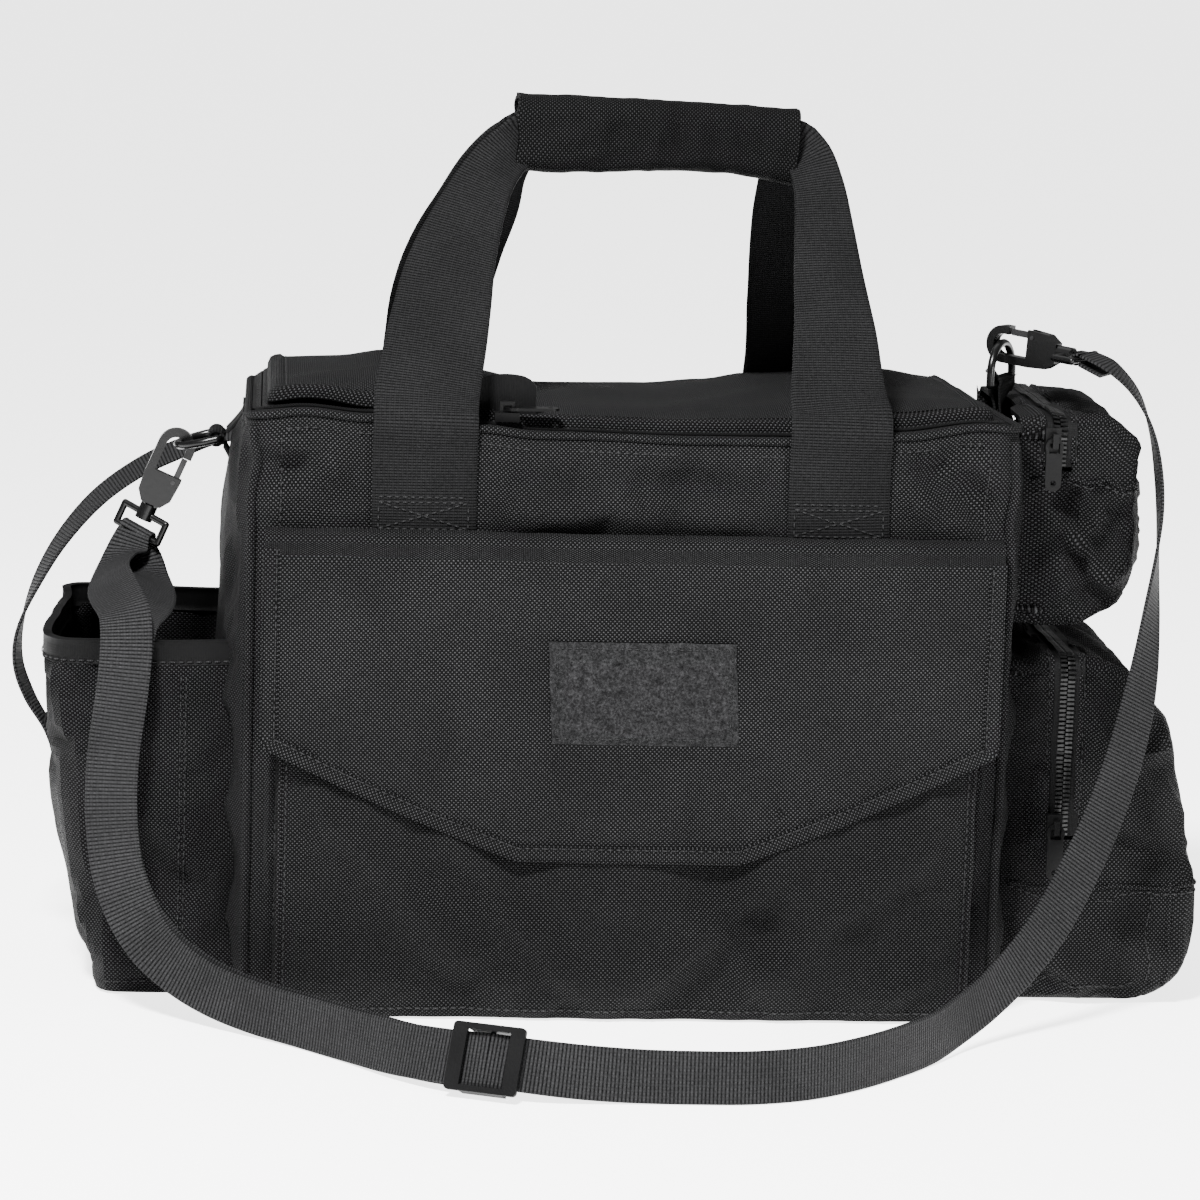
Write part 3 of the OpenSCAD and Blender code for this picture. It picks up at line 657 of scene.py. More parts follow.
def relax(obj, pinned, pressure, spare, cap):
    """Let cloth settle between pinned points: a little too large for its frame, so it wrinkles."""
    rest = [v.co.copy() for v in obj.data.vertices]
    group = obj.vertex_groups.new(name="pins")
    for v in obj.data.vertices:
        w = pinned(v.co / MM)
        if w > 0:
            group.add([v.index], min(1.0, w), "REPLACE")
    cloth = obj.modifiers.new("cloth", "CLOTH")
    s = cloth.settings
    s.quality = 5
    s.mass = 0.3
    s.tension_stiffness = s.compression_stiffness = 25
    s.shear_stiffness = 12
    s.bending_stiffness = 1.2
    s.tension_damping = s.compression_damping = 8
    s.air_damping = 3
    s.vertex_group_mass = "pins"
    s.shrink_min = -spare
    s.use_pressure = pressure != 0
    s.uniform_pressure_force = pressure
    s.effector_weights.gravity = 0.0
    cloth.collision_settings.use_collision = False
    cloth.point_cache.frame_start, cloth.point_cache.frame_end = 1, CLOTH_FRAMES
    for f in range(1, CLOTH_FRAMES + 1):
        scene.frame_set(f)
    graph = bpy.context.evaluated_depsgraph_get()
    new = [v.co.copy() for v in obj.evaluated_get(graph).data.vertices]
    obj.modifiers.clear()
    obj.vertex_groups.clear()
    scene.frame_set(1)
    for v, a, b in zip(obj.data.vertices, rest, new):
        d = b - a
        if d.length > cap * MM:
            d = d.normalized() * cap * MM
        v.co = a + d
    soft = obj.modifiers.new("soft", "SMOOTH")
    soft.factor, soft.iterations = 0.5, 2
    bake(obj)

# ---------------------------------------------------------------- shoulder strap

# rows of [x, y, z, heading, tilt] from the left swivel round to the right one
STRAP_W, STRAP_T = 25.0, 1.6
STRAP = [
    [-242.4, -2.7, 218.9, -28, 12], [-245.5, -5, 211, -28, 16], [-251, -18, 205.5, -48, 40],
    [-253.5, -37, 201.5, -52, 44], [-250, -58, 197.5, -34, 54], [-244, -79, 190.5, -6, 48],
    [-243, -91, 173, 0, 20], [-245, -95, 151, 0, 4], [-248, -97, 128, 0, 2],
    [-249, -99, 106, 0, 2], [-248, -101, 86, 0, 2],
    [-245, -104, 68, -2, 3],
    [-239, -108, 52, -6, 4], [-230, -114, 38, -14, 5], [-217, -122, 27, -24, 6],
    [-200, -133, 19, -32, 7], [-180, -147, 14.5, -38, 8], [-157, -166, 13, -42, 8],
    [-134, -190, 13, -42, 9], [-113, -214, 14.2, -36, 16], [-93, -231, 15.8, -31, 24],
    [-72, -242, 16.8, -22.6, 26], [-50, -249, 15.8, -14, 24], [-27, -252, 14.2, -6, 14],
    [-3, -253, 13, -2, 5], [24, -254, 12.8, -2, 2], [50, -253, 12.8, 8, 2],
    [76, -245, 12.8, 22, 2], [100, -229, 12.8, 36, 2], [122, -208, 12.8, 44, 2],
    [142, -185, 13.2, 48, 2], [158, -164, 16.5, 46, 2], [174, -149, 24, 40, 2],
    [190, -138, 37, 32, 2], [205, -129, 54, 28, 2], [219, -119, 76, 28, 2],
    [231, -110, 99, 30, 2], [241, -102, 123, 32, 2], [249, -93, 148, 36, 2],
    [255, -83, 173, 46, 2], [259, -73, 198, 60, 2], [262, -64, 222, 75, 2],
    [264, -57, 246, 85, 4], [263, -51, 268, 88, 12], [259, -47, 288, 85, 28],
    [251, -44, 305, 75, 48], [239, -41, 317, 60, 66], [227.5, -34.5, 322.2, 48, 80],
]
ADJUSTER_ROW = 21
RETURN_SHIFT = -6.5
# the returning band's own rows, where it parts from the main one below the swivel
RETURN = [
    [-239.4, 2.9, 217.5, -28, 12], [-242.4, 0.6, 209.2, -26, 16], [-237.5, -12, 201.5, 24, 40],
    [-231.5, -33, 197, 44, 46], [-234, -56, 192, 24, 54], [-240.5, -74.6, 185.7, 2, 48],
]


def strap_rows(first, last, shift):
    rows = []
    for i in range(first, last + 1):
        own = shift and i < len(RETURN)
        x, y, z, yaw, tilt = RETURN[i] if own else STRAP[i]
        n = facing(yaw, tilt)
        if own:
            x, y, z = vec(x, y, z) - n * shift
        ends = min(i, len(STRAP) - 1 - i)
        wide = STRAP_W * (0.74 if ends < 1 else 0.9 if ends < 2 else 1)
        rows.append([x + n.x * shift, y + n.y * shift, z + n.z * shift, wide, STRAP_T, *n])
    return spline(rows, 5)


def strap_piece(name, first, last, shift, exit_end, a, start, end, node):
    rows = strap_rows(first, last, shift)
    obj = ribbon(name, rows, STRAPPING)
    path = [[c * MM for c in r[:3]] for r in rows]
    if exit_end:
        path.reverse()
    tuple(path[0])
    bent(obj, "root", a, start, end, "webbing", node)


LEFT_START, LEFT_END = (-243, -60, 190), (-243, -4, 216)
RIGHT_START, RIGHT_END = (259, -73, 198), (236, -40, 318)
for name, shift, node in (("strap_left", 0.0, "strap_main"), ("strap_left_return", RETURN_SHIFT, "strap_return")):
    strap_piece(name, 0, ADJUSTER_ROW, shift, False, "left_ring_set", LEFT_START, LEFT_END, node)
strap_piece("strap_right", ADJUSTER_ROW, len(STRAP) - 1, 0.0, True, "right_ring_set",
            RIGHT_START, RIGHT_END, "strap_main")


def strap_bend(name, middle, axis, near, far, over, body):
    """The pleated webbing where it goes over a swivel's bar."""
    middle, axis = Vector(middle), Vector(axis).normalized()
    a, b = (Vector(p) - middle for p in (near, far))
    a, b = a - axis * a.dot(axis), b - axis * b.dot(axis)
    turn = atan2(a.cross(b).dot(axis), a.dot(b))
    if (Matrix.Rotation(turn / 2, 3, axis) @ a).dot(Vector(over)) < 0:
        turn += 2 * pi if turn < 0 else -2 * pi
    rows = []
    for k in range(13):
        t = k / 12
        out = Matrix.Rotation(turn * t, 3, axis) @ a.normalized()
        rows.append([*(middle + out * (a.length * (1 - t) + b.length * t)), STRAP_W * 0.74, STRAP_T, *out])
    done(ribbon(name, rows, STRAPPING), body, "webbing")


strap_bend("strap_left_bend", (-241.0, 0, 218.3), (0.794, -0.5, -0.347), STRAP[0][:3], RETURN[0][:3],
           (0, 0, 1), "left_ring_set")
tail_rows = strap_rows(len(STRAP) - 2, len(STRAP) - 1, -4.4)
strap_bend("strap_right_bend", (227.3, -32.7, 319.6), (0.669, 0.743, 0), STRAP[-1][:3], tail_rows[-1][:3],
           (-0.74, 0.67, 0), "right_ring_set")
bent(ribbon("strap_right_tail", tail_rows, STRAPPING), "root", "right_ring_set", RIGHT_START, RIGHT_END, "webbing")

# ---------------------------------------------------------------- main compartment


def around(hw, hd, r, step=6.0):
    """Rounded rectangle seen from above, counterclockwise from the middle of the back."""
    pts = []
    nx, ny, nr = round((2 * hw - 2 * r) / step / 2) * 2, round((2 * hd - 2 * r) / step), 6
    for k in range(nx // 2):
        pts.append((-k * (hw - r) / (nx / 2), hd, 0, 1))
    for sx, sy, start in ((-1, 1, 90), (-1, -1, 180), (1, -1, 270), (1, 1, 0)):
        for k in range(nr):
            a = radians(start + 90 * k / nr)
            pts.append((sx * (hw - r) + r * cos(a), sy * (hd - r) + r * sin(a),
                        cos(a), sin(a)))
        a = radians(start + 90)
        n = (round(cos(a)), round(sin(a)))
        count, length = {180: (ny, 2 * (hd - r)), 270: (nx, 2 * (hw - r)), 0: (ny, 2 * (hd - r)),
                         90: (nx // 2, hw - r)}[(start + 90) % 360]
        tx, ty = -n[1], n[0]
        px, py = sx * (hw - r) + r * n[0], sy * (hd - r) + r * n[1]
        for k in range(count):
            pts.append((px + tx * length * k / count, py + ty * length * k / count, *n))
    return pts


FRONT_FOLDS = [
    (-184, 268, -140, 250, 7, -6.5), (-182, 280, -150, 268, 6, 4.0), (-176, 258, -142, 246, 6, 4.0),
    (-182, 246, -150, 262, 5, 3.0), (-166, 244, -132, 268, 6, 3.0),
    (124, 279, 148, 264, 7, -5.5), (143, 268, 182, 236, 8, -6.5), (143, 266, 160, 286, 6, -4.5),
    (148, 252, 168, 238, 8, 4.5), (154, 276, 180, 262, 8, 4.5), (126, 264, 148, 244, 8, 3.6),
    (-60, 262, 50, 268, 10, -3.0), (-56, 246, -14, 251, 8, 3.2), (-6, 251, 54, 246, 8, 3.2),
    (-58, 277, -18, 273, 7, 2.8), (18, 277, 70, 272, 8, 2.6),
]
SIDE_FOLDS = [
    (-70, 40, 60, 90, 14, 2.4), (-60, 150, 70, 120, 14, 2.2), (-50, 210, 60, 250, 11, 2.2),
    (-80, 230, -30, 150, 9, -1.8), (30, 180, 84, 60, 10, -1.8),
]


def body_push(x, y, z, nx, ny):
    high = sin(pi * min(1, max(0, z / HEIGHT))) ** 0.7
    push = 0.0
    if abs(nx) > 0.5:
        mid = max(0.0, cos(pi * y / 2 / 108)) ** 0.8
        push += (9.0 if nx < 0 else 4.0) * high * mid * abs(nx)
        push += ridge(y, z, SIDE_FOLDS) * high * abs(nx)
    if ny < -0.5:
        push += 1.2 * high * cos(pi * x / 2 / 190) * fit(z, 225, 250)
    if ny > 0.5:
        push += 5.0 * high * max(0.0, cos(pi * x / 2 / 200)) ** 0.7
        push += ridge(-x, z, [(-150, 60, -30, 150, 16, 2.5), (20, 200, 140, 110, 16, 2.6),
                              (-120, 240, 0, 220, 12, 2), (60, 40, 150, 80, 14, -2)]) * high
    here = (x, y, z)
    rough = 1.3 * lump(here, 55, 1) + 0.55 * lump(here, 21, 2)
    if ny < -0.5:
        rough *= 1 - fit(z, 222, 236) * (1 - fit(abs(abs(x) - 100), 27, 37))
    return push + rough * high ** 0.5


def front_fold(p, n):
    """Sharp creases of the front wall above the flap."""
    if n.y > -0.4 or p.y > -80:
        return 0.0
    foot = fit(abs(abs(p.x) - 100), 26, 36)
    return foot * ridge(p.x, p.z, FRONT_FOLDS) * fit(p.z, 232, 244) * (1 - fit(p.z, 278, 287))


def body_shell():
    loop = around(HALF_W, HALF_D, 16, 4.0)
    rows = []
    for inset, z in ((60, 0.6), (12, 0.4), (4, 0.3), (1.2, 1.5)):
        rows.append([(x * (1 - inset / HALF_W), y * (1 - inset / HALF_D), z) for x, y, nx, ny in loop])
    steps = 64
    for k in range(1, steps + 1):
        z = 1.5 + (HEIGHT - 4.0) * k / steps
        row = []
        for x, y, nx, ny in loop:
            p = body_push(x, y, z, nx, ny)
            row.append((x + nx * p, y + ny * p, z))
        rows.append(row)
    for inset, z in ((0.6, HEIGHT - 1.0), (1.8, HEIGHT - 0.1), (3.4, HEIGHT)):
        rows.append([(x - nx * inset, y - ny * inset, z + 0.6 * lump((x, y, 0), 40, 3))
                     for x, y, nx, ny in loop])
    top = rows[-1]
    for k in range(1, 6):
        t = k / 5
        row = []
        for (x, y, nx, ny), (tx, ty, tz) in zip(loop, top):
            ix, iy = x * 180.2 / HALF_W, -75.8 + (y + HALF_D) * 174.4 / 200
            puff = 1.5 * sin(pi * t) * (1 if ny < 0.5 else 0)
            row.append((tx + (ix - tx) * t, ty + (iy - ty) * t, HEIGHT + puff - 1.2 * t))
        rows.append(row)
    for depth in (1.5, 4.0):
        rows.append([(x, y, HEIGHT - 1.2 - depth) for x, y, z in rows[-1 if depth < 2 else -2]])
    rows = [[Vector(p) for p in row] for row in rows]
    return grid("body_shell", rows, FABRIC, closed=True, move=lambda o: relax(
        o, lambda p: 1.0 if p.z < 6 or p.z > 280 or (abs(p.x) > 172 and abs(p.y) > 88)
        or (abs(p.y) > 88 and p.z > 226 and abs(abs(p.x) - 98) < 32) else 0.0,
        0.6, 0.035, 5.0))


shell = body_shell()
crumple(shell, front_fold)
settle(shell)
done(shell, "root", "woven_fabric", "front_panel", "rear_panel", "left_panel", "right_panel",
     "bottom_panel", "corner_seams", "top_band")


def lining():
    loop = around(HALF_W - 3.6, HALF_D - 3.6, 13, 12)
    rows = []
    rim = [(x * 180 / (HALF_W - 3.6), -75.6 + (y + HALF_D - 3.6) * 174 / 192.8) for x, y, nx, ny in loop]
    for t, z in ((0, 283), (0.4, 281), (0.9, 276), (1, 262)):
        rows.append([(rx + (x - rx) * t, ry + (y - ry - 6.0 * min(0.0, ny)) * t, z)
                     for (x, y, nx, ny), (rx, ry) in zip(loop, rim)])
    for k in range(1, 19):
        z = 262 - 258 * k / 18
        row = []
        for x, y, nx, ny in loop:
            depth = 1.4 + 1.6 * lump((x, y, z), 40, 5)
            row.append((x - nx * depth, y - ny * depth - 6.0 * min(0.0, ny), z))
        rows.append(row)
    for s in (0.9, 0.5, 0.02):
        rows.append([(x * s, y * s, 3.4) for x, y, nx, ny in loop])
    rows = [[Vector(p) for p in row] for row in rows]
    return grid("body_lining", rows, LINING, closed=True)


done(settle(lining()), "root", "woven_fabric")


def corner_cord(name, sx, sy):
    """The corded seam that runs up a corner."""
    reach = 16 * (1 - sqrt(0.5)) - 1
    path = [(sx * (HALF_W - reach), sy * (HALF_D - reach), z) for z in range(2, 288, 4)]
    on, normals = cling(path, shell, 0.9, 4.0)
    path = [p + 0.25 * n * lump((p.z, sx * 9, sy * 5), 14, 61) for p, n in zip(on, normals)]
    done(tube(name, path, 2.5, FABRIC, sides=10), "root", "binding_tape")
    inner = [(sx * (HALF_W - 17), sy * (HALF_D + 30), z) for z in range(3, 284, 3)]
    sew(name + "_stitches", [drop(inner, shell, (0, -sy, 0), 0.05)])


for sx, sy in ((-1, -1), (1, -1), (-1, 1), (1, 1)):
    corner_cord("corner_cord_%s_%s" % ("left" if sx < 0 else "right", "front" if sy < 0 else "rear"), sx, sy)


def top_seam():
    """The corded edge round the top of the walls, with stitches below it."""
    loop = [p for p in around(HALF_W, HALF_D, 16) if p[1] < 92]
    path = [(x - nx * 0.6, y - ny * 0.6, HEIGHT + 0.2 + 0.6 * lump((x, y, 0), 40, 3)) for x, y, nx, ny in loop]
    done(settle(tube("top_piping", path, 1.9, FABRIC, sides=10)), "root", "woven_fabric")
    line = [(x, -HALF_D, HEIGHT - 7) for x in range(-168, 170, 3)]
    for sx in (-1, 1):
        side = [(sx * HALF_W, y, HEIGHT - 7) for y in range(-82, 84, 3)]
        side_line = drop(side, shell, (-sx, 0, 0))
        name = "top_seam_stitches_" + ("left" if sx < 0 else "right")
        done(settle(stitches(name, [side_line], SEAM)), "root", "binding_tape")
    front_line = [drop(line, shell, BACKWARD)]
    done(settle(stitches("top_seam_stitches", front_line, SEAM)), "root", "binding_tape")


top_seam()

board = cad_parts["base_board"]
board.data.materials.clear()
board.data.materials.append(BOARD)

# ---------------------------------------------------------------- lid

ZIP_X, ZIP_Y = 180.0, -75.6
LID_Z = 288.4


def raised(x, y):
    """The lid's edge stands off the zip at the left of its front."""
    return 3.6 * exp(-((x + 153) / 30) ** 2) * (1 - fit(y, -60, 10))


def lid_height(x, y):
    t = fit(y, ZIP_Y, ZIP_Y + 40) * (1 - 0.55 * fit(y, 60, 98))
    edge = 1 - fit(abs(x), 120, 172) * 0.7
    crown = 4.0 * t * edge + 3.5 * t * exp(-((x + 120) / 50) ** 2) + 2.5 * t * exp(-((x - 130) / 45) ** 2)
    folds = ridge(x, y, [(-60, -60, -20, 40, 12, 1.6), (30, -40, 90, 30, 14, 1.8), (-150, -30, -90, 20, 10, 1.6),
                         (100, 60, 160, -20, 12, -1.5)])
    return LID_Z + 2.4 + crown + (folds + 0.8 * lump((x, y, 9), 30, 4)) * t


def lid():
    rows = []
    ys = [100.3, 99.5, 97, 94] + [90 - k * 5.2 for k in range(30)]
    for y in ys:
        row = []
        for k in range(57):
            x = -171 + 342 * k / 56
            z = lid_height(x, y) + 0.8 * raised(x, y)
            if y > 90:
                drop_to = {100.3: -5.4, 99.5: -1.6, 97: -.4, 94: 0}[y]
                z = LID_Z + 2.2 + (z - LID_Z - 2.2) * (0.0 if y > 99 else 0.6) + drop_to
            row.append(vec(x, y, z))
        rows.append(row)
    obj = settle(grid("lid_panel_cloth", rows, FABRIC, thick=2.2))
    bent(obj, "root", "lid", (0, 100, 289), (0, 91, 290), "woven_fabric", "lid_panel")


lid()


def u_path(x, y, rear, step=4.0, z=0.0, corner=9.0, turns=6):
    """From the left rear, forward, across the front and back to the right rear."""
    left = [vec(-x, rear, z), vec(-x, y + corner, z)]
    left += [vec(-x + corner - corner * cos(a), y + corner - corner * sin(a), z)
             for a in [pi / 2 * k / turns for k in range(1, turns + 1)]]
    return resample(left + [vec(-p.x, p.y, z) for p in reversed(left)], step)


def lid_edge():
    """Corded rim of the lid: a flat skirt with a thick rolled edge."""
    rows = []
    outer = u_path(ZIP_X - 3.6, ZIP_Y + 3.6, 90)
    for inset, dz in ((0, -0.2), (0.2, 2.2), (1.2, 4.2), (3.0, 5.0), (5.2, 4.6), (7.0, 3.4), (9.4, 2.8), (12.0, 2.6)):
        row = []
        path = u_path(ZIP_X - 3.6 - inset, ZIP_Y + 3.6 + inset, 90, corner=max(2.0, 9.0 - inset * 0.6))
        path = resample(path, lengths(path)[-1] / (len(outer) - 1))
        for p in path[:len(outer)]:
            lift = lid_height(p.x, p.y) - LID_Z - 2.4 if inset > 4 else 0.35 * (lid_height(p.x, p.y) - LID_Z - 2.4)
            lift += raised(p.x, p.y)
            row.append(vec(p.x, p.y, LID_Z + dz + lift + 0.5 * lump(p, 16, 6)))
        rows.append(row)
    size = min(len(r) for r in rows)
    rows = [r[:size] for r in rows][::-1]
    obj = settle(grid("lid_rim", rows, FABRIC, thick=1.2))
    done(obj, "lid", "binding_tape", "lid_binding")
    line = u_path(ZIP_X - 3.6 - 8.2, ZIP_Y + 3.6 + 8.2, 88, corner=5)
    line = [vec(p.x, p.y, 330) for p in line]
    sew("lid_rim_stitches", [drop(line, obj, (0, 0, -1))], "lid")


lid_edge()


def lid_zips():
    up = vec(0, 0, 1)
    line = u_path(ZIP_X, ZIP_Y, 90, 1.0, HEIGHT + 0.1)
    rows = [[p + vec(0, 0, 0.1) for p in u_path(ZIP_X + d, ZIP_Y - d, 90, 4.0, HEIGHT + 0.3, 9 + d)][:132]
            for d in (0.9, 4.5)]
    rim = grid("rim_zip_tape", rows, TAPE, thick=0.5)
    a, b = (teeth(name, line, [up] * len(line), side, 1.5, LID_TOOTH, phase, -0.3, DARK_TEETH)
            for name, side, phase in (("rim_zip_teeth", 1, 0.0), ("lid_zip_teeth", -1, 0.5)))
    rows = [u_path(ZIP_X - d, ZIP_Y + d, 90, 4.0, HEIGHT + 0.4, 9 - d)[:130] for d in (5.4, 2.8, 0.9)]
    own = grid("lid_zip_tape", rows, TAPE, thick=0.5)
    done(settle(rim), "root", "zip_coil")
    done(settle(own), "lid", "zip_coil")
    done(settle(a), "root", "zip_coil", "rim_zip")
    done(settle(b), "lid", "zip_coil", "lid_zip")


lid_zips()


def lid_tab():
    """Smooth folded tab that stands up at the end of the lid zip, right of the left handle."""
    rows = []
    for k in range(11):
        x = -77 + 29.5 * k / 10
        rows.append([vec(x, -69.6 + 0.8 * sin(k * .9), LID_Z + 4.6 + h * (0.75 + 0.25 * sin(k / 10 * 2.4))
                         - 0.5 * h * fit(x, -52, -47) * 0.3) for h in [20 * s / 8 for s in range(9)]])
    obj = grid("lid_pull_tab_cloth", rows, TAPE, thick=1.8, offset=0)
    done(settle(obj), "lid", "binding_tape", "lid_pull_tab")


lid_tab()

# ---------------------------------------------------------------- front pocket and flap

POCKET_H, POCKET_HALF, POCKET_Y = 216.0, 170.0, -115.0
POCKET_FOLDS = [
    (-150, 104, -66, 26, 12, 5.0), (-84, 86, -16, 12, 10, 4.2), (-134, 46, -70, 4, 9, -3.2),
    (8, 18, 84, 84, 11, 4.4), (58, 14, 150, 96, 13, 5.0), (30, 70, 100, 24, 9, -3.4),
    (-40, 62, 40, 56, 11, 2.8), (-158, 20, -120, 8, 8, 2.4), (120, 12, 160, 30, 8, 2.2),
    (-110, 70, -40, 60, 9, -2.8), (60, 50, 130, 40, 9, -3.0),
]


def pocket_push(p, n):
    if n.y > -0.4:
        return 0.8 * lump(p, 24, 8)
    low = (1 - fit(p.z, 96, 150)) * fit(p.z, 0, 26)
    side = fit(170 - abs(p.x), 0, 26)
    bulge = 2.6 * low * side + 1.5 * ridge(p.x, p.z, POCKET_FOLDS) * (0.25 + 0.75 * low) * side
    return bulge + (0.8 * lump(p, 34, 9) + 0.4 * lump(p, 14, 10)) * (0.35 + 0.65 * low)


def front_pocket():
    plan = u_path(POCKET_HALF, POCKET_Y, -HALF_D - 0.5, 5.0, corner=5, turns=5)
    rows = []
    for k in range(46):
        z = 0.5 + (POCKET_H - 0.5) * k / 45
        pull = 1.6 * (1 - fit(z, 0, 8))
        rows.append([vec(p.x * (1 - pull / 170), p.y + pull, z) for p in plan])
    obj = grid("pocket_shell", rows, SHADED_FABRIC)
    crumple(obj, pocket_push)
    relax(obj, lambda p: 1.0 if p.z < 5 or p.z > 118 or abs(p.x) > 160 else 0.0, 0.35, 0.03, 3.0)
    thicken(obj, 2.4)
    done(obj, "root", "woven_fabric", "pocket_panel", "pocket_gusset")
    lines = []
    for x in (-POCKET_HALF + 5, POCKET_HALF - 5):
        lines.append(front_line([(x, z) for z in range(4, 214, 4)], obj))
    for z in (6, POCKET_H - 7):
        lines.append(front_line([(x, z) for x in range(-162, 164, 4)], obj))
    sew("pocket_stitches", lines)
    for side, x in (("left", -POCKET_HALF), ("right", POCKET_HALF)):
        edge = [(x - copysign(1.2, x), POCKET_Y + 1.4, z) for z in range(3, 214, 4)]
        on, normals = cling(edge, obj, 0.2, 4.0)
        done(tube("pocket_edge_" + side, on, 1.3, FABRIC), "root", "woven_fabric")
    hem, normals = drop([(x, CLEAR_Y, POCKET_H - 5) for x in range(-166, 168, 5)], obj, BACKWARD, 0.4, 5.0)
    rows = [[*p, 10.0, 1.4, *n] for p, n in zip(hem, normals)]
    done(ribbon("pocket_hem", rows, FABRIC), "root", "woven_fabric")


front_pocket()

FLAP_HALF, FLAP_Y, FLAP_TOP = 178.0, -119.2, 233.0
PATCH = (5, 164)


def flap_low(x):
    a = max(0.0, abs(x) - 54) / 124
    return 81 + 55 * a - 2.2 * sin(pi * a)


FLAP_FOLDS = [
    (-44, 232, -36, 206, 5, -1.5), (-52, 232, -50, 210, 5, 1.2), (-28, 230, -10, 190, 8, 0.8),
    (-150, 226, -110, 150, 14, 0.9), (60, 220, 110, 120, 16, 1.0), (-100, 120, -40, 98, 12, -0.8),
    (40, 96, 90, 118, 10, -0.7), (120, 226, 150, 190, 10, 0.8), (-20, 214, 40, 206, 7, 1.0),
]


def flap_point(x, z):
    low = flap_low(x)
    free = fit(FLAP_TOP - z, 12, 120)
    edge = fit(z - low, 0, 22) * fit(FLAP_HALF - abs(x), 0, 14)
    out = 1.2 * free + ridge(x, z, FLAP_FOLDS) * edge + 0.55 * lump((x, 0, z), 30, 11) + 0.3 * lump((x, 0, z), 12, 12)
    out += 1.0 * (1 - fit(z - low, 0, 16)) * sin(x / 38.0 + 0.6)
    return vec(x * (1 + 0.006 * free), FLAP_Y - out, z)


def flap():
    rows = []
    columns = [-FLAP_HALF + 2 * FLAP_HALF * k / 70 for k in range(71)]
    for y, z in ((-102.6, 237.2), (-106.5, 237.9), (-111, 237.6), (-115, 236.4), (-117.8, 233.6)):
        rows.append([vec(x, y, z + 0.9 * lump((x, 0, 0), 26, 13)) for x in columns])
    steps = 34
    for k in range(1, steps + 1):
        rows.append([flap_point(x, FLAP_TOP - 2 - (FLAP_TOP - 2 - flap_low(x)) * (k / steps)) for x in columns])
    flat = [[(p.x, p.z if i > 4 else 237 + 4 * (5 - i)) for p in row] for i, row in enumerate(rows)]
    obj = grid("flap_cloth", rows[::-1], FABRIC, uv=lambda i, j, f: flat[::-1][i][j])
    relax(obj, lambda p: 1.0 if p.z > 228 or p.z < flap_low(p.x) + 9 or abs(p.x) > 168
          or (abs(p.x - PATCH[0]) < 52 and abs(p.z - PATCH[1]) < 32) else 0.0, 0.15, 0.02, 1.6)
    thicken(obj, 2.4, 0)
    inset = 4.0
    side = FLAP_HALF - inset
    path = [vec(-side, CLEAR_Y, z) for z in range(231, int(flap_low(side)) + 3, -3)]
    path += [vec(x, CLEAR_Y, flap_low(x) + inset) for x in range(-int(side), int(side) + 1, 3)]
    path += [vec(side, CLEAR_Y, z) for z in range(int(flap_low(side)) + 6, 232, 3)]
    on, normals = drop(path, obj, BACKWARD, -0.7, 3.0)
    normals = [(n + vec(0, -1.5, 0)).normalized() for n in normals]
    ends = [fit(min(i, len(on) - 1 - i), -1, 9) for i in range(len(on))]
    rows = [[*p, 8.0, 2.0 + 1.5 * t, *n] for p, n, t in zip(on, normals, ends)]
    hem = ribbon("flap_hem", rows, FABRIC)
    done(hem, "flap", "binding_tape", "flap_binding")
    lines = [([p + n * 1.75 + (n.cross(on[min(i + 1, len(on) - 1)] - on[max(i - 1, 0)])).normalized() * 2.6
               for i, (p, n) in enumerate(zip(on, normals))], normals)]
    sew("flap_hem_stitches", lines, "flap")
    bent(obj, "root", "flap", (0, -104, 236), (0, -118.5, 226), "woven_fabric", "flap_anchor", "flap_panel")


flap()


def pad(name, centre, size, normal, thick, step=2.5, rough=0.1, tip=0.0):
    """Small sewn patch of loop pile; centre is the middle of its back, normal the way it faces."""
    normal = Vector(normal).normalized()
    up = (vec(0, 0, 1) - normal * normal.z).normalized()
    side = up.cross(normal)
    nu, nv = max(4, int(size[0] / step)), max(4, int(size[1] / step))
    rows = []
    for i in range(nv + 1):
        row = []
        for j in range(nu + 1):
            a, b = (j / nu - 0.5) * size[0], (i / nv - 0.5) * size[1]
            edge = min(size[0] / 2 - abs(a), size[1] / 2 - abs(b))
            lift = thick * (0.45 + 0.55 * fit(edge, 0, 2.2)) + rough * lump((a, b, 5), 6, 14)
            wob = 0.5 * lump((a, b, 8), 12, 15) * (1 - fit(edge, 0, 3))
            row.append(Vector(centre) + side * (a + wob + tip * b / size[1]) + up * (b + wob) + normal * lift)
        rows.append(row)
    return grid(name, rows, LOOP, thick=thick * 0.9)


def flap_patch():
    x, z = PATCH
    obj = pad("id_patch_pile", (x, flap_point(x, z).y - 1.3, z), (90, 50), (0, -1, 0), 1.5, 1.6, 0.3, tip=-3.0)
    done(obj, "flap", "hook_and_loop", "id_patch")
    path = [vec(x + a, CLEAR_Y, z + b) for a, b in ((-42, -22), (42, -22), (42, 22), (-42, 22), (-42, -22))]
    sew("id_patch_stitches", [drop(path, obj, BACKWARD, 0.05)], "flap", size=FINE_SEAM)
    done(pad("flap_closing_strip", (0, FLAP_Y + 1.3, 108.5), (120, 23), BACKWARD, 1.0),
         "flap", "hook_and_loop", "flap_hook_strip")
    done(pad("pocket_closing_strip", (0, POCKET_Y - 0.2, 108.5), (120, 25), (0, -1, 0), 1.0),
         "root", "hook_and_loop", "pocket_loop_strip")


flap_patch()

# ---------------------------------------------------------------- handles and wrap

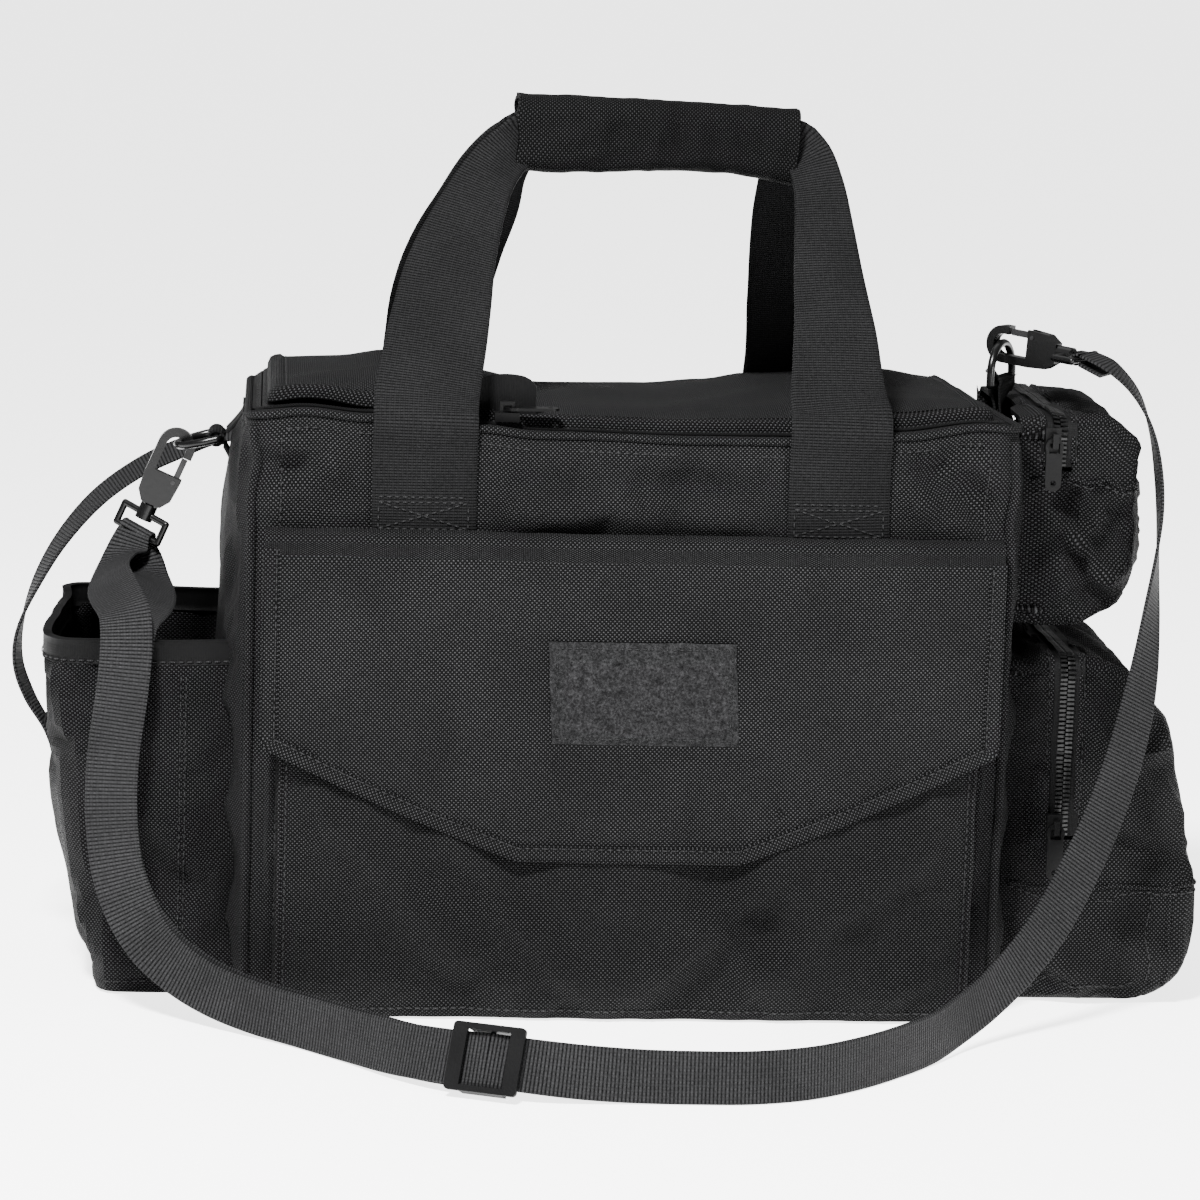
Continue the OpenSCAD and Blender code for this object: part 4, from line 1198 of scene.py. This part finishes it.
GRIP_Z, HINGE_Y, GRIP_Y = 422.0, 104.0, 5.5
LEAN = atan((HINGE_Y - GRIP_Y) / (GRIP_Z - HEIGHT))
RISE = hypot(HINGE_Y - GRIP_Y, GRIP_Z - HEIGHT)
FRONT_FEET, REAR_FEET = (-102, 98), (-93, 96)
# a sewn foot, rows of (distance from the middle, height, tilt)
FOOT = ((101.2, 235, 0), (101.3, 246, 0), (101.6, 262, 0), (102.4, 278, 2),
        (103.6, 286, 10), (103.0, 292, 28), (98.5, 298, 34))
BOX_HALF, BOX_LOW, BOX_HIGH, BOX_EXTRA = 21.5, 239, 252, 254.5
# rows of [x, distance up the handle, width, thickness, how far it stands up from the lean]
FRONT_HANDLE = [
    [-101, 25, 50, 2.3, 0], [-95.5, 58, 48, 2.3, 0], [-89.5, 90, 43, 2.3, 0], [-81, 118, 35, 2.5, 0],
    [-71, 142, 28, 2.9, 0.2], [-59, 158, 25, 3.8, 0.7], [-44, RISE, 24, 4.6, 1], [13, RISE, 24, 4.6, 1],
    [72, RISE, 24, 4.6, 1], [86, 159, 24, 3.8, 0.7], [91.5, 142, 25, 2.9, 0.2], [93.5, 118, 29, 2.5, 0],
    [95, 90, 34, 2.3, 0], [96.5, 58, 40, 2.3, 0], [97, 25, 46, 2.3, 0],
]
REAR_HANDLE = [
    [-93, 25, 50, 2.3, 0], [-90, 58, 50, 2.3, 0], [-83, 90, 48, 2.3, 0], [-74, 118, 43, 2.5, 0],
    [-67, 142, 35, 2.9, 0.2], [-57, 159, 28, 3.8, 0.7], [-44, RISE, 24, 4.6, 1], [13, RISE, 24, 4.6, 1],
    [67, RISE, 24, 4.6, 1], [80, 160.5, 28, 3.8, 0.7], [83.5, 144, 35, 2.9, 0.2], [86.5, 118, 42, 2.5, 0],
    [90.5, 90, 47, 2.3, 0], [93.5, 58, 50, 2.3, 0], [96, 25, 50, 2.3, 0],
]


def handle(front):
    side = 1 if front else -1
    left, right = FRONT_FEET if front else REAR_FEET
    rows = []
    for x, d, wide, thick, stand in FRONT_HANDLE if front else REAR_HANDLE:
        n = facing(0, degrees(LEAN) * (1 - stand))
        rows.append([x, side * (d * sin(LEAN) - HINGE_Y), d * cos(LEAN) + HEIGHT, wide, thick,
                     n.x, side * n.y, n.z])
    foot = []
    for y, z, tilt in FOOT:
        n = facing(0, tilt)
        foot.append([-side * y, z, side * n.y, n.z])
    first = [[left, y, z, 50, 2.3, 0, ny, nz] for y, z, ny, nz in foot]
    last = [[right, y, z, 49, 2.3, 0, ny, nz] for y, z, ny, nz in reversed(foot)]
    rows = spline(first + rows + last, 5)
    rows = [[r[0] + 0.8 * lump((r[0], r[2], 1), 40, 16), r[1], r[2], r[3] + 0.5 * lump((r[2], r[0], 0), 18, 17), *r[4:]]
            for r in rows]
    name = "front" if front else "rear"
    obj = ribbon(name + "_handle_web", rows, WEBBING, curl=0.8)
    bent(obj, "root", name + "_handle", (0, 0, 282), (0, 0, 298), "webbing",
         name + "_handle_anchors", name + "_handle_webbing")
    lines = []
    for x in (left, right):
        a, b, low, high = x - BOX_HALF, x + BOX_HALF, BOX_LOW, BOX_HIGH
        for shape in ([(a, BOX_EXTRA), (b, BOX_EXTRA)], [(a, high), (b, high)], [(a, low), (b, low)],
                      [(a, low), (a, high)], [(b, low), (b, high)], [(a, low), (b, high)], [(a, high), (b, low)]):
            path = [vec(px, -side * 150, pz) for px, pz in shape]
            lines.append(drop(path, obj, (0, side, 0), 0.05))
    sew(name + "_handle_stitches", lines, "root", "webbing", BAR_TACK)


handle(True)
handle(False)


def arc(cy, cz, r, a0, a1, n=6):
    return [(cy + r * cos(radians(a0 + (a1 - a0) * k / n)),
             cz + r * sin(radians(a0 + (a1 - a0) * k / n))) for k in range(n + 1)]


WRAP_X, WRAP_HALF = 13.0, 69.5
WRAP_FOLDS = [(-30, -12, -26, 14, 3.2, 1.6), (-4, -14, 2, 12, 3.0, 2.4), (12, -12, 9, 13, 2.8, -2.8),
              (20, -13, 18, 10, 3.0, 2.2), (30, -12, 27, 10, 3.0, -2.6), (-24, 0, -14, 8, 4, -2.0),
              (-60, -6, -14, 9, 4, 1.6), (44, -12, 40, 8, 3.4, -1.4), (56, -14, 62, 14, 4, 1.2),
              (-40, -16, -10, -10, 3.4, -1.8)]


def wrap_piece(name, outline, body, node, seed):
    """Half of the wrap: an outline of (y, z) round the grip, run along it."""
    section = resample([(0, y, z) for y, z in outline], 2.0)
    rows = []
    for k in range(71):
        t = k / 70 * 2 - 1
        x = WRAP_X + WRAP_HALF * t
        row = []
        for p in section:
            out = (p - vec(0, -1, 0)).normalized()
            fold = ridge(x - WRAP_X, p.z, WRAP_FOLDS) if p.y < 0 else 0.0
            push = fold * (1 - fit(abs(t), 0.86, 1)) + 0.9 * lump((x, p.y, p.z), 17, seed) - 1.0 \
                + 0.5 * lump((x, p.y, p.z), 8, seed + 1) + 0.8 * fit(abs(t), 0.9, 1.0)
            sag = -1.6 * sin(k / 70 * 2.2 * pi) * fit(-p.z, -6, 19) + 1.2 * fit(-p.z, 0, 19) * cos(t * 2)
            end = 1.8 * lump((0, p.y, p.z), 9, seed + 2 + (t > 0)) * fit(abs(t), 0.8, 1)
            row.append(vec(x + end * t, p.y + out.y * push,
                           GRIP_Z - 1.9 * t - 1.2 * t * t + p.z + out.z * push + sag))
        rows.append(row)
    obj = grid(name, rows, WRAP_SHADED_FABRIC, thick=2.6)
    done(obj, body, "woven_fabric", node)


wrap_piece("wrap_front", [(7.5, 18.8)] + arc(-8, 10, 9, 90, 180) + arc(-8, -10, 9, 180, 270) + [(7.5, -18.8)],
           "front_handle", "wrap_shell", 20)
wrap_piece("wrap_rear", [(8.4, -18.2)] + arc(7, -10, 8, -80, 0, 5) + arc(7, 10, 8, 0, 80, 5) + [(8.4, 18.2)],
           "rear_handle", "wrap_closure", 25)

# ---------------------------------------------------------------- left pocket and its strap

SIDE_HALF, SIDE_H = 75.0, 178.0


def left_plan(z):
    """Half a rounded rectangle round the side pocket at one height, mirrored to the rear; it widens upwards."""
    x, h, r = -HALF_W - 70 - 24 * min(1.0, z / 160), SIDE_HALF, 13.0
    pts = [(-HALF_W + 1, h)] + [(x + r + r * cos(radians(a)), h - r + r * sin(radians(a)))
                                for a in range(90, 181, 15)]
    pts += [(p[0], -p[1]) for p in reversed(pts)]
    return [vec(px, py, z) for px, py in pts]


LEFT_FOLDS_FRONT = [(-262, 120, -200, 60, 10, 2.6), (-250, 60, -205, 20, 10, 2.2), (-275, 165, -225, 120, 8, 1.8),
                    (-230, 160, -226, 20, 5, -1.6), (-212, 150, -200, 90, 7, 1.4)]
LEFT_FOLDS_SIDE = [(-60, 150, -20, 40, 10, 2.4), (10, 140, 50, 30, 12, 2.6), (-30, 60, 40, 20, 10, -1.6)]


def left_push(p, n):
    high = fit(p.z, 0, 30) * (1 - fit(p.z, 120, 172))
    if n.x < -0.6:
        push = 3.5 * high * cos(p.y / 75 * 1.4) + 1.4 * ridge(p.y, p.z, LEFT_FOLDS_SIDE) * high
    else:
        push = 2.5 * high + 1.4 * ridge(p.x, p.z, LEFT_FOLDS_FRONT) * (0.3 + 0.7 * high)
    return push + 1.3 * lump(p, 36, 30) + 0.7 * lump(p, 15, 31)


def rim_bend(p):
    """The mouth of the pocket isn't quite a rectangle."""
    high = fit(p.z, 110, 178)
    wave = 2.6 * sin(p.y / 26.0) * high
    out, far = p.x + HALF_W, high * fit(-p.x, 190, 250)
    if p.y < -60:
        return vec(p.x, p.y + (2.4 * sin(out / 17.0) + 2.0) * high, p.z - 2.0 * far)
    if p.y > 60:
        return vec(p.x, p.y + 3.0 * sin(out / 20.0) * high, p.z + 1.5 * far)
    return vec(p.x + wave, p.y, p.z + 2.0 * high * cos(p.y / 30.0))


def left_pocket():
    rows = []
    for s in (0.02, 0.4, 0.8, 0.96):
        rows.append([vec(-HALF_W + (p.x + HALF_W) * s, p.y * s, 0.5) for p in resample(left_plan(0), 5.0)])
    size = len(rows[0])
    for k in range(38):
        z = 0.8 + (SIDE_H - 1.5) * k / 37
        row = resample(left_plan(z), lengths(left_plan(z))[-1] / (size - 1))
        rows.append([rim_bend(p) for p in row])
    rows = [r[:size] for r in rows]
    obj = grid("left_pocket_cloth", rows, SHADED_FABRIC)
    crumple(obj, lambda p, n: left_push(p, n) if 2 < p.z and p.x < -192 else 0.0)
    relax(obj, lambda p: 1.0 if p.z < 4 or p.z > 166 or p.x > -192 else 0.0, 0.5, 0.05, 4.0)
    thicken(obj, 2.2)
    done(obj, "root", "woven_fabric", "left_pocket_shell")
    rim = [rim_bend(p) for p in resample(left_plan(SIDE_H - 6), 4.0)]
    on, normals = cling(rim, obj, -0.9, 4.0)
    outward = []
    for p, n in zip(on, normals):
        away = p - vec(-225, 0, p.z)
        outward.append(n if n.dot(away) > 0 else -n)
    on = [p - n * 0.2 for p, n in zip(on, outward)]
    rows = [[p.x, p.y, SIDE_H - 6 + (p.z - SIDE_H + 6) * 0.6, 12.5, 4.4, n.x, n.y, 0] for p, n in zip(on, outward)]
    done(ribbon("left_pocket_rim", rows, TAPE), "root", "binding_tape", "left_pocket_binding")
    line = [vec(r[0], r[1], r[2] - 4.2) + vec(n.x, n.y, 0) * 2.2 for r, n in zip(rows, outward)]
    lines = [(line, outward)] + [front_line(points, obj) for points in (
        [(-214, z) for z in range(4, 164, 3)], [(-216.5, z) for z in range(4, 164, 3)],
        [(x, 7) for x in range(-252, -190, 3)])]
    sew("left_pocket_stitches", lines)


left_pocket()


def closure():
    rows = [[-188.6, 32, 266, -90, 8], [-190, 32, 264.6, -90, 45], [-205, 32, 262, -75, 60],
            [-222, 31, 256, -60, 60], [-242, 29, 246, -65, 55], [-262, 26, 231, -70, 45],
            [-279, 22, 211, -75, 30], [-291, 17, 190, -80, 15], [-299, 12, 168, -90, 0],
            [-300, 8, 150, -95, -10], [-294, 6, 133, -95, -15], [-285, 4, 118, -92, -8], [-280, 3, 104, -90, 0]]
    rows = spline([[x, y, z, 25, 1.7, *facing(a, b)] for x, y, z, a, b in rows], 5)
    rows = [[-188.6, 32, 244 + 4 * k, 25, 1.7, -1, 0, 0.01] for k in range(5)] + rows[1:]
    obj = ribbon("closure_web", rows, STRAPPING)
    bent(obj, "root", "pocket_closure", (-189, 32, 262), (-202, 32, 263), "webbing", "closure_strap")
    done(pad("closure_hook_pad", (-283.5, 4, 113), (22, 20), (1, 0, 0.25), 0.9, 2.0), "pocket_closure", "hook_and_loop")
    done(pad("closure_loop_pad", (-276.5, 3, 109), (24, 33), (-1, 0, -0.14), 1.0, 2.0), "root",
         "hook_and_loop", "closure_pads")
    a, b, c, d = ((-189.7, y, z) for y, z in ((22, 246), (42, 246), (22, 258), (42, 258)))
    paths = [resample(line, 2.0) for line in ((a, b), (c, d), (a, c), (b, d), (a, d), (c, b))]
    lines = [(path, [vec(-1, 0, 0)] * len(path)) for path in paths]
    sew("closure_stitches", lines, "root", "webbing", BAR_TACK)


closure()

# ---------------------------------------------------------------- right pouches


def rounded(points, radius, step):
    """An open outline with its inner corners rounded, evenly spaced."""
    pts = [vec(x, 0, z) for x, z in points]
    out = [pts[0]]
    for a, b, c in zip(pts, pts[1:], pts[2:]):
        r = min(radius, (a - b).length * 0.45, (c - b).length * 0.45)
        p, q = b + (a - b).normalized() * r, b + (c - b).normalized() * r
        for k in range(7):
            t = k / 6
            out.append(p * (1 - t) ** 2 + b * 2 * t * (1 - t) + q * t * t)
    out.append(pts[-1])
    return resample(out, step)


def pouch_cloth(name, outline, inner_x, half, round_off):
    """Closed soft pouch against the wall at inner_x, as one sheet of cloth."""
    r, step = 9.0, 5.0
    line = rounded(outline, round_off, step)
    n = len(line)
    low, high = outline[0][1], outline[-1][1]
    root = [vec(inner_x, 0, low + (high - low) * i / (n - 1)) for i in range(n)]
    normals = []
    for i in range(n):
        t = (line[min(i + 1, n - 1)] - line[max(i - 1, 0)]).normalized()
        normals.append(vec(t.z, 0, -t.x))
    normals[0], normals[-1] = vec(0, 0, -1), vec(0, 0, 1)
    face, rounds, rows, kinds = 11, 5, [], []
    for k in range(face):
        t = k / face
        rows.append([q.lerp(p - m * r, t) + vec(0, half, 0) for q, p, m in zip(root, line, normals)])
        kinds.append("face")
    for k in range(rounds + 1):
        a = pi / 2 * k / rounds
        rows.append([p - m * r * (1 - sin(a)) + vec(0, half - r + r * cos(a), 0)
                     for p, m in zip(line, normals)])
        kinds.append("face" if k < rounds / 2 else "wall")
    count = round(2 * (half - r) / step)
    for k in range(1, count):
        rows.append([p + vec(0, (half - r) * (1 - 2 * k / count), 0) for p in line])
        kinds.append("wall")
    rows += [[vec(p.x, -p.y, p.z) for p in row] for row in reversed(rows[:face + rounds + 1])]
    kinds += kinds[:face + rounds + 1][::-1]
    run = lengths(line)

    def uv(i, j, f):
        p = rows[i][j]
        return (p.x, p.z) if kinds[f] == "face" else (p.y, run[j])
    return grid(name, rows, SHADED_FABRIC, uv=uv)


def zip_line(zip_x, hinge_z, half, cloth, top):
    """Up the front, over the top and down the back of a pouch."""
    path = [vec(zip_x, -half - 1, hinge_z + 2), vec(zip_x, -half - 1, top - 10),
            vec(zip_x, -half + 6, top + 1), vec(zip_x, half - 6, top + 1),
            vec(zip_x, half + 1, top - 10), vec(zip_x, half + 1, hinge_z + 2)]
    return cling(path, cloth, 0.0)


ZIP_GAP = 7.0


def pouch(name, spec):
    """A pouch's cloth cut into base and door along its zip, with the zip's tapes, teeth and seams."""
    outline, inner_x, half, zip_x, hinge, top = (
        spec[key] for key in ("outline", "inner_x", "half", "zip_x", "hinge", "top"))
    cloth = pouch_cloth(name, outline, inner_x, half, spec["round"])

    def push(p, n):
        if p.x < inner_x + 4:
            return 0.0
        away = fit(abs(p.x - zip_x), 3, 16) if p.z > hinge[1] - 8 else 1.0
        free = fit(p.x - inner_x, 0, 26) * (1.0 if spec["hang"] else fit(p.z, 0, 22))
        fold = 0.0
        if n.y < -0.5:
            fold = ridge(p.x, p.z, spec["front"])
        elif n.y > 0.5:
            fold = ridge(-p.x + 2 * zip_x, p.z, spec["front"])
        elif n.x > 0.2:
            fold = ridge(p.y, p.z, spec["side"])
        rough = 1.1 * lump(p, 26, spec["seed"]) + 0.6 * lump(p, 11, spec["seed"] + 1)
        return (1.5 * fold * away + rough * away) * free
    if spec["hang"]:
        for v in cloth.data.vertices:
            x, y, z = v.co / MM
            v.co.x -= 6.2 * MM * fit(abs(y), 16, 30) * (1 - fit(x, inner_x, inner_x + 14))
    crumple(cloth, push)
    relax(cloth, lambda p: 1.0 if p.x < inner_x + 5 or (abs(p.x - zip_x) < 5 and p.z > hinge[1] - 6)
          or (not spec["hang"] and p.z < 4) else 0.0, 0.7, 0.06, 4.5)
    crumple(cloth, lambda p, n: 0.6 * push(p, n))
    path, normals = zip_line(zip_x, hinge[1], half, cloth, top)
    cuts = [((zip_x - ZIP_GAP, 0, 0), (1, 0, 0)), ((zip_x + ZIP_GAP, 0, 0), (1, 0, 0)), ((0, 0, hinge[1]), (0, 0, 1))]
    base = carve(cloth, name + "_base_cloth", cuts, lambda c: c.z < hinge[1] or c.x < zip_x - ZIP_GAP)
    door = carve(cloth, name + "_door_cloth", cuts, lambda c: c.z > hinge[1] and c.x > zip_x + ZIP_GAP)
    bpy.data.objects.remove(cloth)
    done(base, "root", "woven_fabric", name + "_base")
    bent(door, "root", name.split("_")[0] + "_door", (hinge[0], 0, hinge[1] - 2), (hinge[0], 0, hinge[1] + 12),
         "woven_fabric", name + "_panel")
    for part, body, out in (("base", "root", -1), ("door", name.split("_")[0] + "_door", 1)):
        tape_rows = []
        for d in (0.9, 9.0):
            tape_rows.append([p + vec(out * d, 0, 0) - n * 0.5 for p, n in zip(path, normals)])
        tape = grid(name + "_zip_tape_" + part, tape_rows if out < 0 else tape_rows[::-1], TAPE, thick=0.6, offset=0)
        done(tape, body, "zip_coil")
        fine, fine_n = resample(path, 1.0), []
        for i in range(len(fine)):
            fine_n.append(normals[min(len(normals) - 1, round(i * (len(normals) - 1) / (len(fine) - 1)))])
        row = teeth(name + "_zip_teeth_" + part, fine, fine_n, -out, 2.2, DOOR_TOOTH, 0.5 if out > 0 else 0.0, -0.2)
        done(row, body, "zip_coil")
        edge_obj = base if part == "base" else door
        edge = [p + vec(out * (ZIP_GAP + 2.0), 0, 0) for p in path]
        edge = [p for p in edge if p.z > hinge[1] + 3]
        sew(name + "_zip_stitches_" + part, [cling(edge, edge_obj)], body)
        roll = [p + vec(out * (ZIP_GAP + 0.3), 0, 0) for p in path if p.z > hinge[1] + 2]
        on, _ = cling(roll, edge_obj, -0.5, 3.0)
        done(tube(name + "_zip_fold_" + part, on, 1.35, FABRIC), body, "woven_fabric")
    return base


LOWER = dict(
    outline=[(187, 0.6), (265, 0.6), (285, 22), (285, 60), (283, 84), (267, 148), (241, 176), (187, 176)],
    inner_x=187, half=72, zip_x=219, hinge=(283, 84), top=176, round=16, hang=False, seed=40,
    front=[(196, 168, 210, 90, 6, 2.6), (232, 150, 268, 96, 7, 3.4), (226, 50, 276, 22, 8, 3.2),
           (192, 44, 240, 10, 8, 2.8), (240, 84, 284, 70, 5, -2.4), (228, 170, 252, 130, 5, -2.2),
           (240, 120, 272, 134, 6, 2.6)],
    side=[(-60, 40, 20, 70, 10, 2.6), (-40, 140, 50, 100, 10, 2.4), (-60, 90, 60, 84, 5, -1.6), (20, 30, 60, 60, 8, 2)])
UPPER = dict(
    outline=[(196, 190.4), (225, 190.4), (243, 202), (250, 222), (250, 268), (247, 284), (235, 294), (196, 294)],
    inner_x=196, half=66, zip_x=210, hinge=(250, 268), top=294, round=12, hang=True, seed=50,
    front=[(200, 258, 246, 204, 4, 4.0), (202, 212, 246, 262, 4, 3.6), (214, 266, 224, 236, 4, -3.2),
           (230, 262, 249, 232, 4, -2.8), (203, 244, 222, 196, 5, 2.8), (228, 286, 246, 272, 4, 2.4),
           (206, 230, 228, 226, 4, -2.6), (226, 214, 248, 222, 4, 2.6)],
    side=[(-50, 210, 10, 262, 8, 3.2), (-20, 262, 50, 216, 8, 3.2), (30, 280, 60, 250, 7, -2),
          (-60, 280, 0, 274, 5, 2)])
lower_base = pouch("lower_pouch", LOWER)
upper_base = pouch("upper_pouch", UPPER)


def pouch_details():
    """Sewn seams, the upper pouch's backing strip, and piping along the pouch edges."""
    wall = [vec(x, -84, 62) for x in range(190, 282, 3)]
    turn = [vec(290, y, 62) for y in range(-66, 70, 3)]
    back = [vec(x, 84, 62) for x in range(281, 189, -3)]
    seam, normals = cling(wall + turn + back, lower_base, 0.1, 3.0)
    done(tube("lower_pouch_seam", seam, 1.1, FABRIC), "root", "woven_fabric")
    lines = [cling(path, lower_base) for path in (
        [p - vec(0, 0, 4) for p in wall + turn + back], [vec(266, -84, z) for z in range(8, 60, 3)],
        [vec(x, -84, 7) for x in range(192, 262, 3)])]
    sew("lower_pouch_stitches", lines)
    on, _ = cling([vec(276, -75, z) for z in range(8, 66, 3)], lower_base, 0.0, 3.0)
    done(tube("lower_pouch_edge", on, 1.2, FABRIC), "root", "woven_fabric")
    wall = [vec(x, -76, 262) for x in range(200, 248, 3)]
    side = [vec(256, y, 262) for y in range(-60, 62, 3)]
    on, normals = cling(wall + side, upper_base, 0.1, 3.0)
    done(tube("upper_pouch_seam", on, 1.0, FABRIC), "root", "woven_fabric")
    sew("upper_pouch_stitches", [cling([p - vec(0, 0, 3.6) for p in wall + side], upper_base)])
    for name, plan, low, top in (
            ("", [(186.5, -62.5), (191, -63.2), (197.5, -62.5), (197.5, 62.5), (191, 63.2), (186.5, 62.5)],
             199, 250),
            ("_front", [(186.5, -30), (186.5, -62.6), (191, -63.4), (198, -62.6), (198, -30)], 248, 283),
            ("_rear", [(186.5, 62.6), (186.5, 30), (198, 30), (198, 62.6), (191, 63.4)], 248, 283)):
        rows = [[vec(x + 0.5 * lump((x, y, z), 9, 60), y, z) for x, y in plan]
                for z in [low + (top - low) * k / 12 for k in range(13)]]
        obj = grid("upper_pouch_gusset" + name, rows, FABRIC, closed=bool(name), thick=1.0, offset=0)
        done(obj, "root", "woven_fabric")


pouch_details()

# ---------------------------------------------------------------- ring tabs and hardware


def ring_tab(name, rows, node, lines, normal):
    """A sewn tab of webbing; each of its lines of stitches runs between two points on a face with that normal."""
    done(ribbon(name, spline(rows, 5), WEBBING), "root", "webbing", node)
    paths = [resample(line, 1.0) for line in lines]
    sew(name + "_stitches", [(path, [vec(*normal)] * len(path)) for path in paths], "root", "webbing", TAB_SEAM)


def tabs():
    eye = vec(-HALF_W - 15, 0, 268)
    loop = []
    for a in range(-70, 271, 20):
        t = radians(a)
        # round the ring's bar, from below to above
        loop.append([eye.x - 3.6 * sin(t) - 0.2, 0, eye.z - 3.6 * cos(t), 23, 1.5,
                     -sin(t), 0.001, -cos(t)])
    low = [[-190.6, 0, 238, 24, 1.5, -1, 0, 0.1], [-191.4, 0, 248, 24, 1.5, -1, 0, 0.2],
           [-195.5, 0, 259, 23, 1.5, -0.9, 0, -0.45]]
    high = [[-193.5, 0, 274.5, 23, 1.5, -0.3, 0, 0.95], [-188.8, 0, 281, 23, 1.5, -0.9, 0, 0.4],
            [-188.6, 0, 286, 21, 1.5, -1, 0, 0.1]]
    a, b, c, d = ((-192.2, y, z) for y, z in ((-9, 240), (9, 240), (-9, 249), (9, 249)))
    ring_tab("left_tab_web", low + loop[1:-1] + high, "left_ring_tab", [(a, b), (c, d), (a, c), (b, d)], (-1, 0, 0))
    eye = vec(HALF_W + 4, 0, 303)
    yaw = Matrix.Rotation(radians(-30), 3, "Z")
    loop = []
    for a in range(-120, 121, 20):
        t = radians(a)
        out = yaw @ vec(sin(t), 0, cos(t))
        loop.append([*(eye + out * 3.5), 20, 1.5, *out])
    start = [[188.6, 0, 262, 20, 1.5, -1, 0.001, 0], [188.8, 0, 276, 20, 1.5, -1, 0.001, 0],
             [189, 0, 290, 20, 1.5, -0.97, 0.2, 0]]
    end = [[191.6, 0, 291, 20, 1.5, 0.97, -0.2, 0], [191.2, 0, 278, 20, 1.5, 1, 0, 0],
           [191.0, 0, 264, 20, 1.5, 1, 0, 0]]
    ring_tab("right_tab_web", start + loop + end, "right_ring_tab", [((192.2, -8, 272), (192.2, 8, 272))], (1, 0, 0))


tabs()


def metalwork():
    """CAD pieces of metal and plastic keep their shape and get rounded edges and a finish."""
    for name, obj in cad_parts.items():
        if name.startswith("base_board") or obj.hide_render:
            continue
        finish = METAL
        for part, special in (("slider", ZIP_METAL), ("puller", ZIP_METAL), ("adjuster", PLASTIC),
                              ("_gate", GATE_METAL)):
            finish = special if part in name else finish
        obj.data.materials.clear()
        obj.data.materials.append(finish)
        edge = obj.modifiers.new("edges", "BEVEL")
        edge.width, edge.segments, edge.limit_method = 0.00035, 2, "ANGLE"
        edge.angle_limit = radians(35)
        obj.data.polygons.foreach_set("use_smooth", [True] * len(obj.data.polygons))


metalwork()
